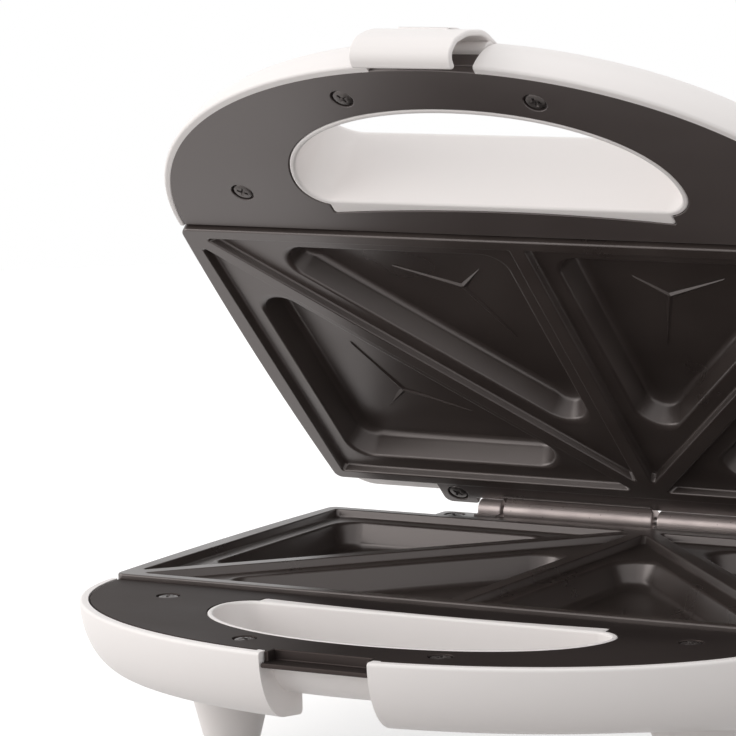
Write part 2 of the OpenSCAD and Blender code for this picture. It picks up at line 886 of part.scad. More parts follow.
// The heating tube in the half frame: a loop that is open at the rear
module half_element() {
    x = loop_x - loop_r;
    y = loop_y - loop_r;
    end = tray_y + element_end;
    turn_x = terminal_x + loop_r / 2;
    turn_y = loop_y + loop_r / 2;
    translate([0, 0, z_pan + tube_r + fit]) {
        translate([0, -loop_y, 0])
            rod_x(tube_r, -x, x);
        for (s = [-1, 1]) {
            translate([s * loop_x, 0, 0])
                rod_y(tube_r, -y, y);
            translate([0, loop_y, 0])
                rod_x(tube_r, min(s * x, s * turn_x), max(s * x, s * turn_x));
            translate([s * x, y, 0])
                rotate([0, 0, s > 0 ? 0 : 90])
                    tube_bend(loop_r);
            translate([s * x, -y, 0])
                rotate([0, 0, s > 0 ? 270 : 180])
                    tube_bend(loop_r);
            translate([s * turn_x, turn_y, 0])
                rotate([0, 0, s > 0 ? 180 : 270])
                    tube_bend(loop_r / 2);
            translate([s * terminal_x, 0, 0])
                rod_y(tube_r, turn_y, end);
            translate([s * terminal_x, 0, 0])
                rod_y(tube_r / 2, end, end + element_blade);
        }
    }
}

module tube_bend(r) {
    rotate_extrude(angle = 90)
        translate([r, 0])
            circle(r = tube_r);
}

module lower_element() {
    color("#6b6560")
        in_base()
            half_element();
}

module upper_element() {
    color("#6b6560")
        in_lid()
            half_element();
}

// The reflector tray behind the heating tube, open towards the plate
module half_reflector() {
    lip = z_pan + tray_gap;
    difference() {
        translate([-tray_x, -tray_y, lip])
            cube([2 * tray_x, 2 * tray_y, z_stud + sheet_t - lip]);
        translate([-tray_x + sheet_t, -tray_y + sheet_t, lip - 1])
            cube([2 * (tray_x - sheet_t), 2 * (tray_y - sheet_t), z_stud - lip + 1]);
        cylinder(r = thermostat_r + tray_room, h = far);
        for (s = [-1, 1])
            translate([s * stud_x, 0, 0])
                cylinder(r = screw_r + seat, h = far);
        // Slots for the heating tube's two ends
        for (s = [-1, 1])
            translate([s * terminal_x - tube_r - tray_gap, 0, 0])
                cube([2 * (tube_r + tray_gap), far, z_pan + 2 * tube_r + tray_gap]);
    }
}

module lower_reflector() {
    color("lightgray")
        in_base()
            half_reflector();
}

module upper_reflector() {
    color("lightgray")
        in_lid()
            half_reflector();
}

// A disc thermostat on the back of the plate, with its two blades
module half_thermostat() {
    translate([0, 0, z_pan])
        cylinder(r = thermostat_r, h = stud_h);
    for (s = [-1, 1])
        translate([s * thermostat_r / 2 - blade.x / 2, -blade.y / 2, z_pan + stud_h - eps])
            cube(blade);
}

module lower_thermostat() {
    color("tan")
        in_base()
            half_thermostat();
}

module upper_thermostat() {
    color("tan")
        in_lid()
            half_thermostat();
}

// A small fuse held by its strap on the reflector's outer side
module thermal_fuse() {
    color("gainsboro")
        in_base()
            translate([-stud_x / 2, fuse_y, z_stud + sheet_t]) {
                translate([0, 0, fuse_r])
                    rod_x(fuse_r, -fuse_len / 2, fuse_len / 2);
                translate([-fuse_strap.x / 2, -fuse_strap.y / 2, 0])
                    cube(fuse_strap);
            }
}

// A block with three pairs of clamping screws on the base's floor
module terminal_block() {
    color("ivory")
        in_base()
            translate([stud_x - block.x / 2, tray_y / 2, base_depth - wall - block.z])
                difference() {
                    cube(block);
                    for (i = [0:2])
                        for (s = [-1, 1])
                            translate([block.x / 2 + (i - 1) * block_pitch, block.y * (2 + s) / 4, -1])
                                cylinder(r = block_hole_r, h = block.z / 2 + 1);
                }
}

module cord_gland() {
    color("#2a2a2a")
        in_base()
            bushing(cord_x, cord_z, cord_r, cord_body, cord_flange);
}

module lower_bushing() {
    color("#2a2a2a")
        in_base()
            bushing(-link_x, link_z, link_r, link_body, link_flange);
}

module upper_bushing() {
    color("#2a2a2a")
        in_lid()
            bushing(-link_x, link_z, link_r, link_body, link_flange);
}

// A rubber pad under a leg, with the stem that holds it
module pad(i) {
    color("dimgray")
        in_base()
            translate(leg_place(i - 1)) {
                translate([0, 0, z_tip])
                    cylinder(r = pad_d / 2, h = pad_t);
                translate([0, 0, z_tip - leg_wall - 1])
                    cylinder(r = pad_stem_r, h = leg_wall + 1 + eps);
            }
}

// A lens through the lid's roof, with its flange outside
module lens(x) {
    in_lid()
        translate([x, lens_y, 0]) {
            translate([0, 0, lid_depth - wall - lens_dome])
                cylinder(r = lens_r, h = wall + lens_dome + 2 * eps);
            translate([0, 0, lid_depth + eps])
                cylinder(r1 = lens_r + lens_flange, r2 = lens_r, h = lens_dome);
        }
}

module power_lens() {
    color("red")
        lens(-lens_x);
}

module ready_lens() {
    color("limegreen")
        lens(lens_x);
}

// A frame on the roof's inner side that carries both lamps
module lamp_holder() {
    holder_x = lens_x + lens_r + holder_rim;
    holder_y = lens_r + holder_rim;
    color("ivory")
        in_lid()
            difference() {
                translate([-holder_x, lens_y - holder_y, lid_depth - wall - holder_h])
                    cube([2 * holder_x, 2 * holder_y, holder_h]);
                for (s = [-1, 1])
                    translate([s * lens_x, lens_y, 0])
                        cylinder(r = lens_r + seat, h = far);
            }
}

module latch_pin() {
    x = notch_x + notch_wall - seat;
    color("silver")
        in_lid()
            translate([0, pivot_y, pivot_z])
                rod_x(latch_pin_r, -x, x);
}

// Middle line of the clip's section in its locked place, from the pin to the hook
pivot = [pivot_y, pivot_z];
hook_end = [lip_y + hook_grip, -keeper_z - keeper_t - hook_gap - latch_t / 2];
clip_path = round_path([
    pivot + clip_heel,
    pivot + clip_shoulder,
    pivot - [latch_reach - belly_in, belly_drop],
    pivot - [latch_reach, chin_drop],
    hook_end - hook_len,
    hook_end
], clip_bends);

module latch_clip() {
    pad_w = latch_w / 2;
    color("white")
        in_lid()
            translate([0, pivot_y, pivot_z])
                rotate([-latch_swing, 0, 0])
                    translate([0, -pivot_y, -pivot_z])
                        difference() {
                            union() {
                                along_x(latch_w)
                                    polygon(band(clip_path, -latch_t / 2, latch_t / 2));
                                along_x(pad_w)
                                    polygon(band([for (i = [0:top_points - 1]) clip_path[i]],
                                        -latch_t / 2 - pad_h, 0));
                                translate([0, pivot_y, pivot_z])
                                    rod_x(latch_knuckle_r, -latch_w / 2, latch_w / 2);
                            }
                            translate([0, pivot_y, pivot_z])
                                rod_x(latch_pin_r + fit, -far / 2, far / 2);
                        }
}

function numbered(name, n) = [for (i = [1:n]) str(name, "_", i)];

lower_shell();
lower_bezel();
lower_plate();
lower_element();
lower_reflector();
lower_thermostat();
thermal_fuse();
terminal_block();
cord_gland();
lower_bushing();
upper_shell();
upper_bezel();
upper_plate();
upper_element();
upper_reflector();
upper_thermostat();
power_lens();
ready_lens();
lamp_holder();
upper_bushing();
hinge_pin();
latch_pin();
latch_clip();
for (i = [1:4]) {
    pad(i);
    in_base() bezel_screw(i);
    in_lid() bezel_screw(i);
}
for (i = [1:2]) {
    in_base() ear_screw(i);
    in_lid() ear_screw(i);
    in_base() tray_screw(i);
    in_lid() tray_screw(i);
}
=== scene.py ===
"""Looks of a countertop sandwich toaster that stands half open.

Each half is drawn in a half frame, in millimetres: x to the right, y from the middle of the
cooking plate towards the hinge, z the distance from the parting plane into the half. A half's
matrix then puts its meshes, in metres, where the frame has them.

FAR is longer than the toaster, OVER is how far a cutter reaches past a face, and AHEAD how far it
reaches out in front of the nose.
"""

import json
import logging
import math
from dataclasses import dataclass, field, replace
from enum import Enum
from typing import Callable, Sequence

import bmesh
import bpy
from mathutils import Matrix, Vector
from mathutils.bvhtree import BVHTree

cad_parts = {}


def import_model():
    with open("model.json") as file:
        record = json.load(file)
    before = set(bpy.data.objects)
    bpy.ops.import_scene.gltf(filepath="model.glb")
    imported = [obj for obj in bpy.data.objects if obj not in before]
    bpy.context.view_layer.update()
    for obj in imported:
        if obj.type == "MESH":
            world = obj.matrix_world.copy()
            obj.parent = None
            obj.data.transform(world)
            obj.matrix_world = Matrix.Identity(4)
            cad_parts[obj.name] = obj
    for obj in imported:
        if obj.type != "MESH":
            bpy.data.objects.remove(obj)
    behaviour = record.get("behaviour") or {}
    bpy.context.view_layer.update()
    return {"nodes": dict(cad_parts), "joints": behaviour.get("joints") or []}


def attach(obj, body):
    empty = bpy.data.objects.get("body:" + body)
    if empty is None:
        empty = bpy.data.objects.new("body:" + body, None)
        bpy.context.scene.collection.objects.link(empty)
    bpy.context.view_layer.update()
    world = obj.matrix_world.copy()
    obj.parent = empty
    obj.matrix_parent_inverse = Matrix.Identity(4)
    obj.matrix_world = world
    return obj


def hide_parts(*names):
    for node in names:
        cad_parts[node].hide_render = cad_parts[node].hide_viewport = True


LOG = logging.getLogger("toaster")
MM = 0.001
FAR = 300.0
OVER = 1.0
AHEAD = 60.0

Outline = list[tuple[float, float]]
Points = Sequence[tuple[float, float]]
Triple = tuple[float, float, float]
Ring = list[Triple]
Colour = Triple
Solid = bpy.types.Object


class Side(Enum):
    """Which half of the toaster a piece belongs to."""

    LOWER = "lower"
    UPPER = "upper"


@dataclass(frozen=True)
class Half:
    """Where one half's frame stands, and the body that its pieces ride on."""

    side: Side
    matrix: Matrix
    body: str

    def node(self, name: str) -> str:
        """Returns the name of this half's node of that kind."""
        return f"{self.side.value}_{name}"


@dataclass(frozen=True)
class Sizes:
    """The toaster's main sizes in a half frame, in millimetres."""

    plate_w: float = 226.0
    plate_d: float = 124.0
    side_bow: float = 1.5
    z_rim: float = 0.5
    z_shelf: float = 3.0
    z_floor: float = 11.0
    z_flange: float = 4.5
    z_pan: float = 14.5
    z_stud: float = 22.5
    z_bezel: float = 1.9
    bezel_t: float = 2.5
    bezel_a: float = 110.0
    bezel_b: float = 72.8
    bezel_gap: float = 0.4
    hinge_y: float = 73.0
    shell_y: float = 71.0
    wall_x: float = 111.0
    wall: float = 2.5
    side_r: float = 16.0
    corner_r: float = 9.0
    slope_from: float = 0.81
    grip_a: float = 60.3
    grip_near: float = 14.3
    grip_len: float = 39.8
    grip_r: float = 7.7
    grip_power: float = 2.05
    grip_lip: float = 0.75
    grip_sag: float = 2.8
    grip_lip_x: float = 52.7
    grip_wall: float = 1.8
    seat: float = 0.1
    notch_x: float = 16.6
    notch_wall: float = 2.2
    keeper_x: float = 16.3
    keeper_z: float = 4.8
    keeper_t: float = 1.3
    keeper_cheek: float = 1.2
    keeper_back: float = -129.6
    lip_y: float = -136.5
    skirt_y: float = -134.5
    skirt_t: float = 2.0
    skirt_z: float = 8.0
    pivot_y: float = -129.5
    pivot_z: float = 12.7
    screw_r: float = 1.5
    recess_r: float = 3.4
    recess_z: float = 1.2
    boss_r: float = 4.2
    screw_room: float = 9.7
    ear_x: float = 70.0
    ear_y: float = 67.0
    ear_z: float = 1.2
    bezel_screws: tuple[tuple[float, float], ...] = ((30.2, -121.7), (82.3, -78.8))
    screw_edge: float = 0.25
    stud_x: float = 45.0
    leg_x: float = 74.0
    leg_ys: tuple[float, float] = (-60.0, 48.0)
    z_tip: float = 51.5
    lens_x: float = 12.0
    lens_y: float = 30.0
    cord_at: tuple[float, float] = (60.0, 20.0)
    link_at: tuple[float, float] = (-30.0, 14.0)
    plate_r: float = 2.7
    plate_edge: float = 1.5

    @property
    def front(self) -> float:
        """Returns the plate's front edge along y."""
        return -self.plate_d / 2

    @property
    def back(self) -> float:
        """Returns the plate's rear edge along y."""
        return self.plate_d / 2

    @property
    def nose_y(self) -> float:
        """Returns the bezel's foremost point along y."""
        return self.front - self.bezel_b

    def screw_places(self) -> list[tuple[float, float]]:
        """Returns the four places of the bezel's screws, in their nodes' order."""
        return [(s * x, y) for x, y in self.bezel_screws for s in (-1, 1)]

    def recess(self, face: float, start: float, end: float) -> Outline:
        """Returns the profile that cuts a screw's recess and hole into a face.

        Args:
            face: The face's height.
            start: Where the cutter starts, before the face.
            end: Where the hole ends.

        Returns:
            Its points of (radius, height).
        """
        e, floor, hole = self.screw_edge, face + self.recess_z, self.screw_r + self.seat
        edge = [(self.recess_r + e * a, face + e * b) for a, b in arc_steps(4)]
        return [(0.0, start), (self.recess_r + e, start), *edge, (self.recess_r, floor),
                (hole, floor), (hole, end), (0.0, end)]


def half_oval(a: float, b: float, y0: float, steps: int = 96, power: float = 2.0) -> Outline:
    """Traces half an oval in front of the line y = y0.

    Args:
        a: Half its width.
        b: Its reach in front of the line.
        y0: The line's place.
        steps: Number of chords.
        power: 2 for an ellipse, more for fuller corners.

    Returns:
        Its points from left to right.
    """
    points = []
    for i in range(steps + 1):
        angle = math.pi * i / steps
        c, s = math.cos(angle), max(math.sin(angle), 0.0)
        x = -a * math.copysign(abs(c) ** (2 / power), c)
        points.append((x, y0 - b * s ** (2 / power)))
    return points


def bend(a: Vector, b: Vector, c: Vector, r: float, n: int) -> list[Vector]:
    """Returns n + 1 points of the arc of radius r that rounds the corner b between a and c."""
    u, v = (a - b).normalized(), (c - b).normalized()
    if r <= 0 or abs(u.cross(v)) < 1e-6:
        return [b.copy() for _ in range(n + 1)]
    half = math.acos(max(-1.0, min(1.0, u.dot(v)))) / 2
    mid = b + (u + v).normalized() * (r / math.sin(half))
    start = b + u * (r / math.tan(half)) - mid
    way = math.copysign(1.0, u.y * v.x - u.x * v.y)
    arc = []
    for i in range(n + 1):
        t = way * (math.pi - 2 * half) * i / n
        c_t, s_t = math.cos(t), math.sin(t)
        arc.append(mid + Vector((start.x * c_t - start.y * s_t, start.x * s_t + start.y * c_t)))
    return arc


def round_ring(points: Sequence, radii: float | Sequence[float], n: int = 10) -> Outline:
    """Rounds the corners of a closed outline.

    Args:
        points: The outline's corners.
        radii: One radius for all corners, or one for each.
        n: Number of chords in each corner.

    Returns:
        The rounded outline, with n + 1 points for each corner.
    """
    pts = [Vector(p[:2]) for p in points]
    count = len(pts)
    each = [radii] * count if isinstance(radii, (int, float)) else list(radii)
    ring = []
    for i in range(count):
        ring += bend(pts[i - 1], pts[i], pts[(i + 1) % count], each[i], n)
    return [(p.x, p.y) for p in ring]


def round_path(points: Sequence[tuple[float, float]], radii: Sequence[float], n: int = 12) -> Outline:
    """Rounds the inner corners of an open path."""
    pts = [Vector(p) for p in points]
    path = [pts[0]]
    for i in range(1, len(pts) - 1):
        path += bend(pts[i - 1], pts[i], pts[i + 1], radii[i - 1], n)
    path.append(pts[-1])
    return [(p.x, p.y) for p in path]


def grown(points: Outline, g: float) -> Outline:
    """Grows a smooth closed outline by g along its own normals (inwards when g is negative)."""
    pts = [Vector(p) for p in points]
    count = len(pts)
    area = sum(pts[i - 1].cross(pts[i]) for i in range(count))
    turn = 1.0 if area > 0 else -1.0
    out = []
    for i in range(count):
        way = pts[(i + 1) % count] - pts[i - 1]
        normal = Vector((way.y, -way.x)).normalized() * turn
        out.append(tuple(pts[i] + normal * g))
    return out


def mirrored(points: Outline) -> Outline:
    """Returns the points' mirror images on the other side of x = 0, the last one first."""
    return [(-x, y) for x, y in reversed(points)]


class Outlines:
    """The outlines that more than one piece follows."""

    chord = 7.5
    foot_r = 0.5
    lip_r = 0.9
    rear_steps = 24

    def __init__(self, size: Sizes) -> None:
        """Keeps the sizes that the outlines come from."""
        self.size = size

    def grip_front(self, g: float, chords: int) -> tuple[Outline, Outline]:
        """Traces the front of the grip opening, grown by g.

        Args:
            g: How far it grows.
            chords: How many of the chords that round the right rear corner it keeps.

        Returns:
            Its oval front and the points of the right rear corner.
        """
        s = self.size
        y0 = s.front - s.grip_near - s.grip_r
        oval = half_oval(s.grip_a + g, s.grip_len - s.grip_r + g, y0, 64, s.grip_power)
        x, r = s.grip_a - s.grip_r, s.grip_r + g
        turns = [math.radians(self.chord * i) for i in range(1, chords + 1)]
        return oval, [(x + r * math.cos(t), y0 + r * math.sin(t)) for t in turns]

    def bore(self, g: float) -> Outline:
        """Returns the grip opening's outline grown by g."""
        oval, right = self.grip_front(g, 12)
        return oval + right + mirrored(right)

    def grip(self, g: float) -> Outline:
        """Returns the outline of the lip round the grip opening, grown by g.

        Its rear edge steps towards the plate and bows, with rounded corners.
        """
        s = self.size
        oval, right = self.grip_front(g, 10)
        lip_x = s.grip_lip_x + g
        foot = Vector((lip_x, s.front - s.grip_near + g))
        corner = foot + Vector((0.0, s.grip_lip + s.grip_sag))
        inward = Vector((-1.0, -2 * s.grip_sag / lip_x))
        right += [tuple(p) for p in bend(Vector(right[-1]), foot, corner, self.foot_r, 4)]
        right += [tuple(p) for p in bend(foot, corner, corner + inward, self.lip_r, 4)]
        across = [1 - 2 * i / self.rear_steps for i in range(2, self.rear_steps - 1)]
        rear = [(k * lip_x, foot.y + s.grip_lip + s.grip_sag * k * k) for k in across]
        return oval + right + rear + mirrored(right)

    def bezel(self, g: float) -> Outline:
        """Returns the bezel's outline grown by g, closed along its straight rear edge."""
        s = self.size
        y0 = s.front - s.bezel_gap + g
        return half_oval(s.bezel_a + g, s.bezel_b - s.bezel_gap + 2 * g, y0)

    def plate(self, g: float) -> Outline:
        """Returns the plate's outline grown by g, its sides bowed and its corners rounded."""
        s = self.size
        n = 12
        corners, radii = [], []
        for way in (1, -1):
            for i in range(n + 1):
                y = way * (s.back + g) * (1 - 2 * i / n)
                bow = s.side_bow * (2 * y / s.plate_d) ** 2
                corners.append((way * (s.plate_w / 2 - bow + g), y))
                radii.append(max(s.plate_r + g, 0.2) if i in (0, n) else 0.0)
        return round_ring(corners, radii, 5)

    def pockets(self) -> list[list[Vector]]:
        """Returns the corners of the plate's four triangular pockets."""
        s = self.size
        y1, y0 = s.back - s.plate_edge, s.front + s.plate_edge
        tris = []
        for way in (-1, 1):
            x = way * (s.plate_w / 2 - s.side_bow - s.plate_edge)
            tris.append([Vector((x, y1)), Vector((x, y0)), Vector((0.0, y1))])
            tris.append([Vector((x, y0)), Vector((0.0, y0)), Vector((0.0, y1))])
        return tris


def tri_centre(tri: Sequence[Vector]) -> tuple[Vector, float]:
    """Returns a triangle's inner circle: its middle and radius."""
    a, b, c = tri
    sides = ((b - c).length, (a - c).length, (a - b).length)
    total = sum(sides)
    mid = (a * sides[0] + b * sides[1] + c * sides[2]) / total
    return mid, abs((b - a).cross(c - a)) / total


def tri_ring(tri: Sequence[Vector], inset: float, r: float) -> Outline:
    """Returns the triangle drawn in by inset, with corners of radius r."""
    mid, inner = tri_centre(tri)
    k = 1 - inset / inner
    return round_ring([mid + (p - mid) * k for p in tri], r)


def level(points: Outline, z: float | Sequence[float]) -> Ring:
    """Lifts an outline to a height, or each of its points to its own."""
    heights = [z] * len(points) if isinstance(z, (int, float)) else list(z)
    return [(x, y, h) for (x, y), h in zip(points, heights)]


def arc_steps(n: int = 5) -> list[tuple[float, float]]:
    """Returns (1 - sin, 1 - cos) over a quarter turn, which shape a rounded edge."""
    turns = [math.pi / 2 * i / n for i in range(n + 1)]
    return [(1 - math.sin(t), 1 - math.cos(t)) for t in turns]


def flare(outline: Callable[[float], Outline], face: float, e: float, n: int = 4) -> list[Ring]:
    """Returns the rings where a cutter enters a face, flared by e.

    Args:
        outline: Gives the cutter's outline grown by a length.
        face: The face's height.
        e: Radius of the edge that the flare leaves.
        n: Chords in that edge.

    Returns:
        The rings from the face into the solid.
    """
    return [level(outline(e * a), face + e * b) for a, b in arc_steps(n)]


def quarter(n: int) -> list[tuple[float, float]]:
    """Returns (sin, cos) at the n + 1 ends of the chords of a quarter turn."""
    turns = [math.radians(90 * i / n) for i in range(n + 1)]
    return [(math.sin(t), math.cos(t)) for t in turns]


class Workshop:
    """Makes closed meshes and joins or carves them."""

    sharp = 32.0

    @staticmethod
    def link(mesh: bpy.types.Mesh, name: str) -> Solid:
        """Returns a new object of the scene that shows the mesh."""
        obj = bpy.data.objects.new(name, mesh)
        bpy.context.scene.collection.objects.link(obj)
        return obj

    @classmethod
    def loft(cls, rings: Sequence[Ring], name: str = "work", closed: bool = False) -> Solid:
        """Spans a closed solid over rings that all have the same number of points.

        Args:
            rings: Its cross sections, from one end to the other.
            name: The object's name.
            closed: Whether the last ring joins the first, as round a tube.

        Returns:
            The solid, its normals outwards.
        """
        count, n = len(rings[0]), len(rings)
        faces: list[tuple[int, ...]] = []
        for k in range(n if closed else n - 1):
            a, b = k * count, (k + 1) % n * count
            for i in range(count):
                j = (i + 1) % count
                faces.append((a + i, a + j, b + j, b + i))
        if not closed:
            faces.append(tuple(range(count - 1, -1, -1)))
            faces.append(tuple(range((n - 1) * count, n * count)))
        mesh = bpy.data.meshes.new(name)
        mesh.from_pydata([p for ring in rings for p in ring], [], faces)
        return cls.link(cls.cleaned(mesh), name)

    @staticmethod
    def cleaned(mesh: bpy.types.Mesh, apart: float = 1e-4) -> bpy.types.Mesh:
        """Merges points that coincide and turns the normals outwards."""
        bm = bmesh.new()
        bm.from_mesh(mesh)
        bmesh.ops.remove_doubles(bm, verts=bm.verts, dist=apart)
        bmesh.ops.dissolve_degenerate(bm, edges=bm.edges, dist=apart)
        if bm.calc_volume(signed=True) < 0:
            bmesh.ops.reverse_faces(bm, faces=bm.faces)
        bm.to_mesh(mesh)
        bm.free()
        return mesh

    @classmethod
    def prism(cls, outline: Callable[[float], Outline], z0: float, z1: float,
              r0: float = 0.0, r1: float = 0.0, steps: int = 4) -> Solid:
        """Extrudes an outline between two heights and rounds its edges.

        Args:
            outline: Gives the outline grown by a length.
            z0: Lower height.
            z1: Upper height.
            r0: Radius of the lower edge.
            r1: Radius of the upper edge.
            steps: Chords in each rounded edge.

        Returns:
            The solid.
        """
        low = arc_steps(steps) if r0 > 0 else [(0.0, 0.0)]
        high = arc_steps(steps) if r1 > 0 else [(0.0, 0.0)]
        rings = [level(outline(-r0 * a), z0 + r0 * b) for a, b in low]
        rings += [level(outline(-r1 * a), z1 - r1 * b) for a, b in reversed(high)]
        return cls.loft(rings)

    @classmethod
    def across(cls, section: Callable[[float], Outline], half_w: float, edge: float,
               steps: int) -> Solid:
        """Sweeps a section across x and rounds its two ends.

        Args:
            section: Gives the section, as (y, z), grown by a length.
            half_w: Half the width of the sweep.
            edge: Radius of the ends' edges.
            steps: Chords in each rounded edge.

        Returns:
            The solid.
        """
        arc = arc_steps(steps)
        rings = [[(-half_w + edge * b, y, z) for y, z in section(-edge * a)] for a, b in arc]
        rings += [[(half_w - edge * b, y, z) for y, z in section(-edge * a)] for a, b in reversed(arc)]
        return cls.loft(rings)

    @classmethod
    def block(cls, low: Sequence[float], high: Sequence[float], r: float = 0.0,
              edge: float = 0.0) -> Solid:
        """Returns a box with corners of radius r along z and flat faces rounded by edge."""
        x0, y0, z0 = low
        x1, y1, z1 = high

        def outline(g: float) -> Outline:
            """Returns the box's outline grown by g."""
            pts = [(x0 - g, y0 - g), (x1 + g, y0 - g), (x1 + g, y1 + g), (x0 - g, y1 + g)]
            return round_ring(pts, max(r + g, 0.01), 4) if r > 0 else pts

        return cls.prism(outline, z0, z1, edge, edge, 3)

    @classmethod
    def lathe(cls, profile: Outline, at: Sequence[float] = (0, 0, 0), turn: Matrix | None = None,
              steps: int = 64, closed: bool = False) -> Solid:
        """Turns a profile of (radius, height) round the z axis.

        Args:
            profile: Its points from one end to the other.
            at: Where its axis stands.
            turn: Rotation that lays the axis down, if it isn't along z.
            steps: Number of chords round it.
            closed: Whether the profile's end joins its start.

        Returns:
            The solid.
        """
        turns = [2 * math.pi * i / steps for i in range(steps)]
        rings = []
        for r, h in profile:
            wide = max(r, 1e-3)
            rings.append([(wide * math.cos(t), wide * math.sin(t), h) for t in turns])
        solid = cls.loft(rings, closed=closed)
        place = Matrix.Translation(Vector(at))
        solid.data.transform(place @ turn.to_4x4() if turn else place)
        return solid

    @classmethod
    def rod(cls, r: float, h0: float, h1: float, at: Sequence[float] = (0, 0, 0),
            turn: Matrix | None = None) -> Solid:
        """Returns a plain cylinder of radius r between two heights along its axis."""
        return cls.lathe([(r, h0), (r, h1)], at, turn)

    @classmethod
    def hull(cls, rings: Sequence[Ring], name: str = "work") -> Solid:
        """Returns the convex solid that wraps all the rings."""
        bm = bmesh.new()
        for ring in rings:
            for p in ring:
                bm.verts.new(p)
        bmesh.ops.remove_doubles(bm, verts=bm.verts, dist=1e-4)
        out = bmesh.ops.convex_hull(bm, input=bm.verts, use_existing_faces=False)
        spare = out["geom_interior"] + out["geom_unused"]
        loose = [g for g in spare if isinstance(g, bmesh.types.BMVert)]
        bmesh.ops.delete(bm, geom=list(set(loose)), context="VERTS")
        bmesh.ops.recalc_face_normals(bm, faces=bm.faces)
        mesh = bpy.data.meshes.new(name)
        bm.to_mesh(mesh)
        bm.free()
        return cls.link(cls.cleaned(mesh), name)

    @staticmethod
    def apply(obj: Solid) -> None:
        """Puts what the object's modifiers make into its mesh."""
        graph = bpy.context.evaluated_depsgraph_get()
        mesh = bpy.data.meshes.new_from_object(obj.evaluated_get(graph))
        obj.modifiers.clear()
        old = obj.data
        obj.data = mesh
        bpy.data.meshes.remove(old)

    @classmethod
    def combine(cls, body: Solid, tools: Sequence[Solid],
                operation: str = "DIFFERENCE") -> Solid:
        """Cuts the tools from the body, or joins them to it, and removes them.

        Args:
            body: The solid that changes.
            tools: The solids that cut or join it.
            operation: DIFFERENCE, UNION or INTERSECT.

        Returns:
            The body.
        """
        for tool in tools:
            mod = body.modifiers.new("step", "BOOLEAN")
            mod.operation = operation
            mod.solver = "MANIFOLD"
            mod.object = tool
        cls.apply(body)
        for tool in tools:
            mesh = tool.data
            bpy.data.objects.remove(tool)
            bpy.data.meshes.remove(mesh)
        return body

    @classmethod
    def copy(cls, obj: Solid, matrix: Matrix) -> Solid:
        """Returns a copy of the solid, moved by the matrix."""
        twin = cls.link(obj.data.copy(), obj.name)
        twin.data.transform(matrix)
        if matrix.determinant() < 0:
            twin.data.flip_normals()
        return twin

    @staticmethod
    def drop_scraps(mesh: bpy.types.Mesh, least: int = 5) -> None:
        """Deletes the loose flaps of a few faces that a boolean may leave behind.

        Args:
            mesh: The mesh to clear.
            least: Groups of fewer joined faces than this go.
        """
        bm = bmesh.new()
        bm.from_mesh(mesh)
        seen: set[int] = set()
        scraps = []
        for face in bm.faces:
            if face.index in seen:
                continue
            group = [face]
            seen.add(face.index)
            for member in group:
                joined = [edge for edge in member.edges if len(edge.link_faces) == 2]
                for other in (f for edge in joined for f in edge.link_faces):
                    if other.index not in seen:
                        seen.add(other.index)
                        group.append(other)
            if len(group) < least:
                scraps += group
        bmesh.ops.delete(bm, geom=scraps, context="FACES")
        bm.to_mesh(mesh)
        bm.free()

    @classmethod
    def place(cls, obj: Solid, name: str, half: Half, nodes: Sequence[str], slot: str,
              finishes: Sequence["Finish"], body: str = "") -> Solid:
        """Puts a finished solid in its half, dresses it and says what it stands for.

        Args:
            obj: The solid in the half frame.
            name: The piece's name.
            half: The half that it belongs to.
            nodes: The nodes that it replaces.
            slot: The record's material slot; not used.
            finishes: Its finishes, in the order of its faces' material numbers.
            body: The body that it rides on, if it isn't the half's.

        Returns:
            The piece.
        """
        cls.cleaned(obj.data)
        cls.drop_scraps(obj.data)
        obj.data.transform(half.matrix)
        if half.matrix.determinant() < 0:
            obj.data.flip_normals()
        obj.name = obj.data.name = name
        slots = obj.data.materials
        for i, finish in enumerate(finishes):
            if i < len(slots):
                slots[i] = finish.build()
            else:
                slots.append(finish.build())
        obj.data.shade_smooth()
        obj.data.set_sharp_from_angle(angle=math.radians(cls.sharp))
        weighted = obj.modifiers.new("even_shading", "WEIGHTED_NORMAL")
        weighted.keep_sharp = True
        cls.apply(obj)
        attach(obj, body or half.body)
        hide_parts(*nodes)
        LOG.info("%s: %d faces, replaces %s", name, len(obj.data.polygons), ", ".join(nodes))
        return obj


ALONG_X = Matrix.Rotation(math.radians(90), 3, "Y")
ALONG_Y = Matrix.Rotation(math.radians(-90), 3, "X")


def rod_profile(r: float, h0: float, h1: float, edge: float) -> list[tuple[float, float]]:
    """Returns a rod's profile between two heights, with rounded ends."""
    start = [(r - edge * a, h0 + edge * b) for a, b in arc_steps(4)]
    end = [(r - edge * a, h1 - edge * b) for a, b in reversed(arc_steps(4))]
    return [(0.0, h0)] + start + end + [(0.0, h1)]


def add_node(tree: bpy.types.NodeTree, kind: str, inputs: dict | None = None,
             **settings: str) -> bpy.types.Node:
    """Adds a shader node to a tree.

    Args:
        tree: The tree.
        kind: The node's type, without the "ShaderNode" before it.
        inputs: The values of its inputs, by name or number.
        **settings: Its own properties.

    Returns:
        The node.
    """
    node = tree.nodes.new(f"ShaderNode{kind}")
    for key, value in settings.items():
        setattr(node, key, value)
    for key, value in (inputs or {}).items():
        node.inputs[key].default_value = value
    return node


def wire(tree: bpy.types.NodeTree, *wires: tuple) -> None:
    """Links the tree's nodes, each wire given as (node, output, node, input)."""
    for source, output, target, entry in wires:
        tree.links.new(source.outputs[output], target.inputs[entry])


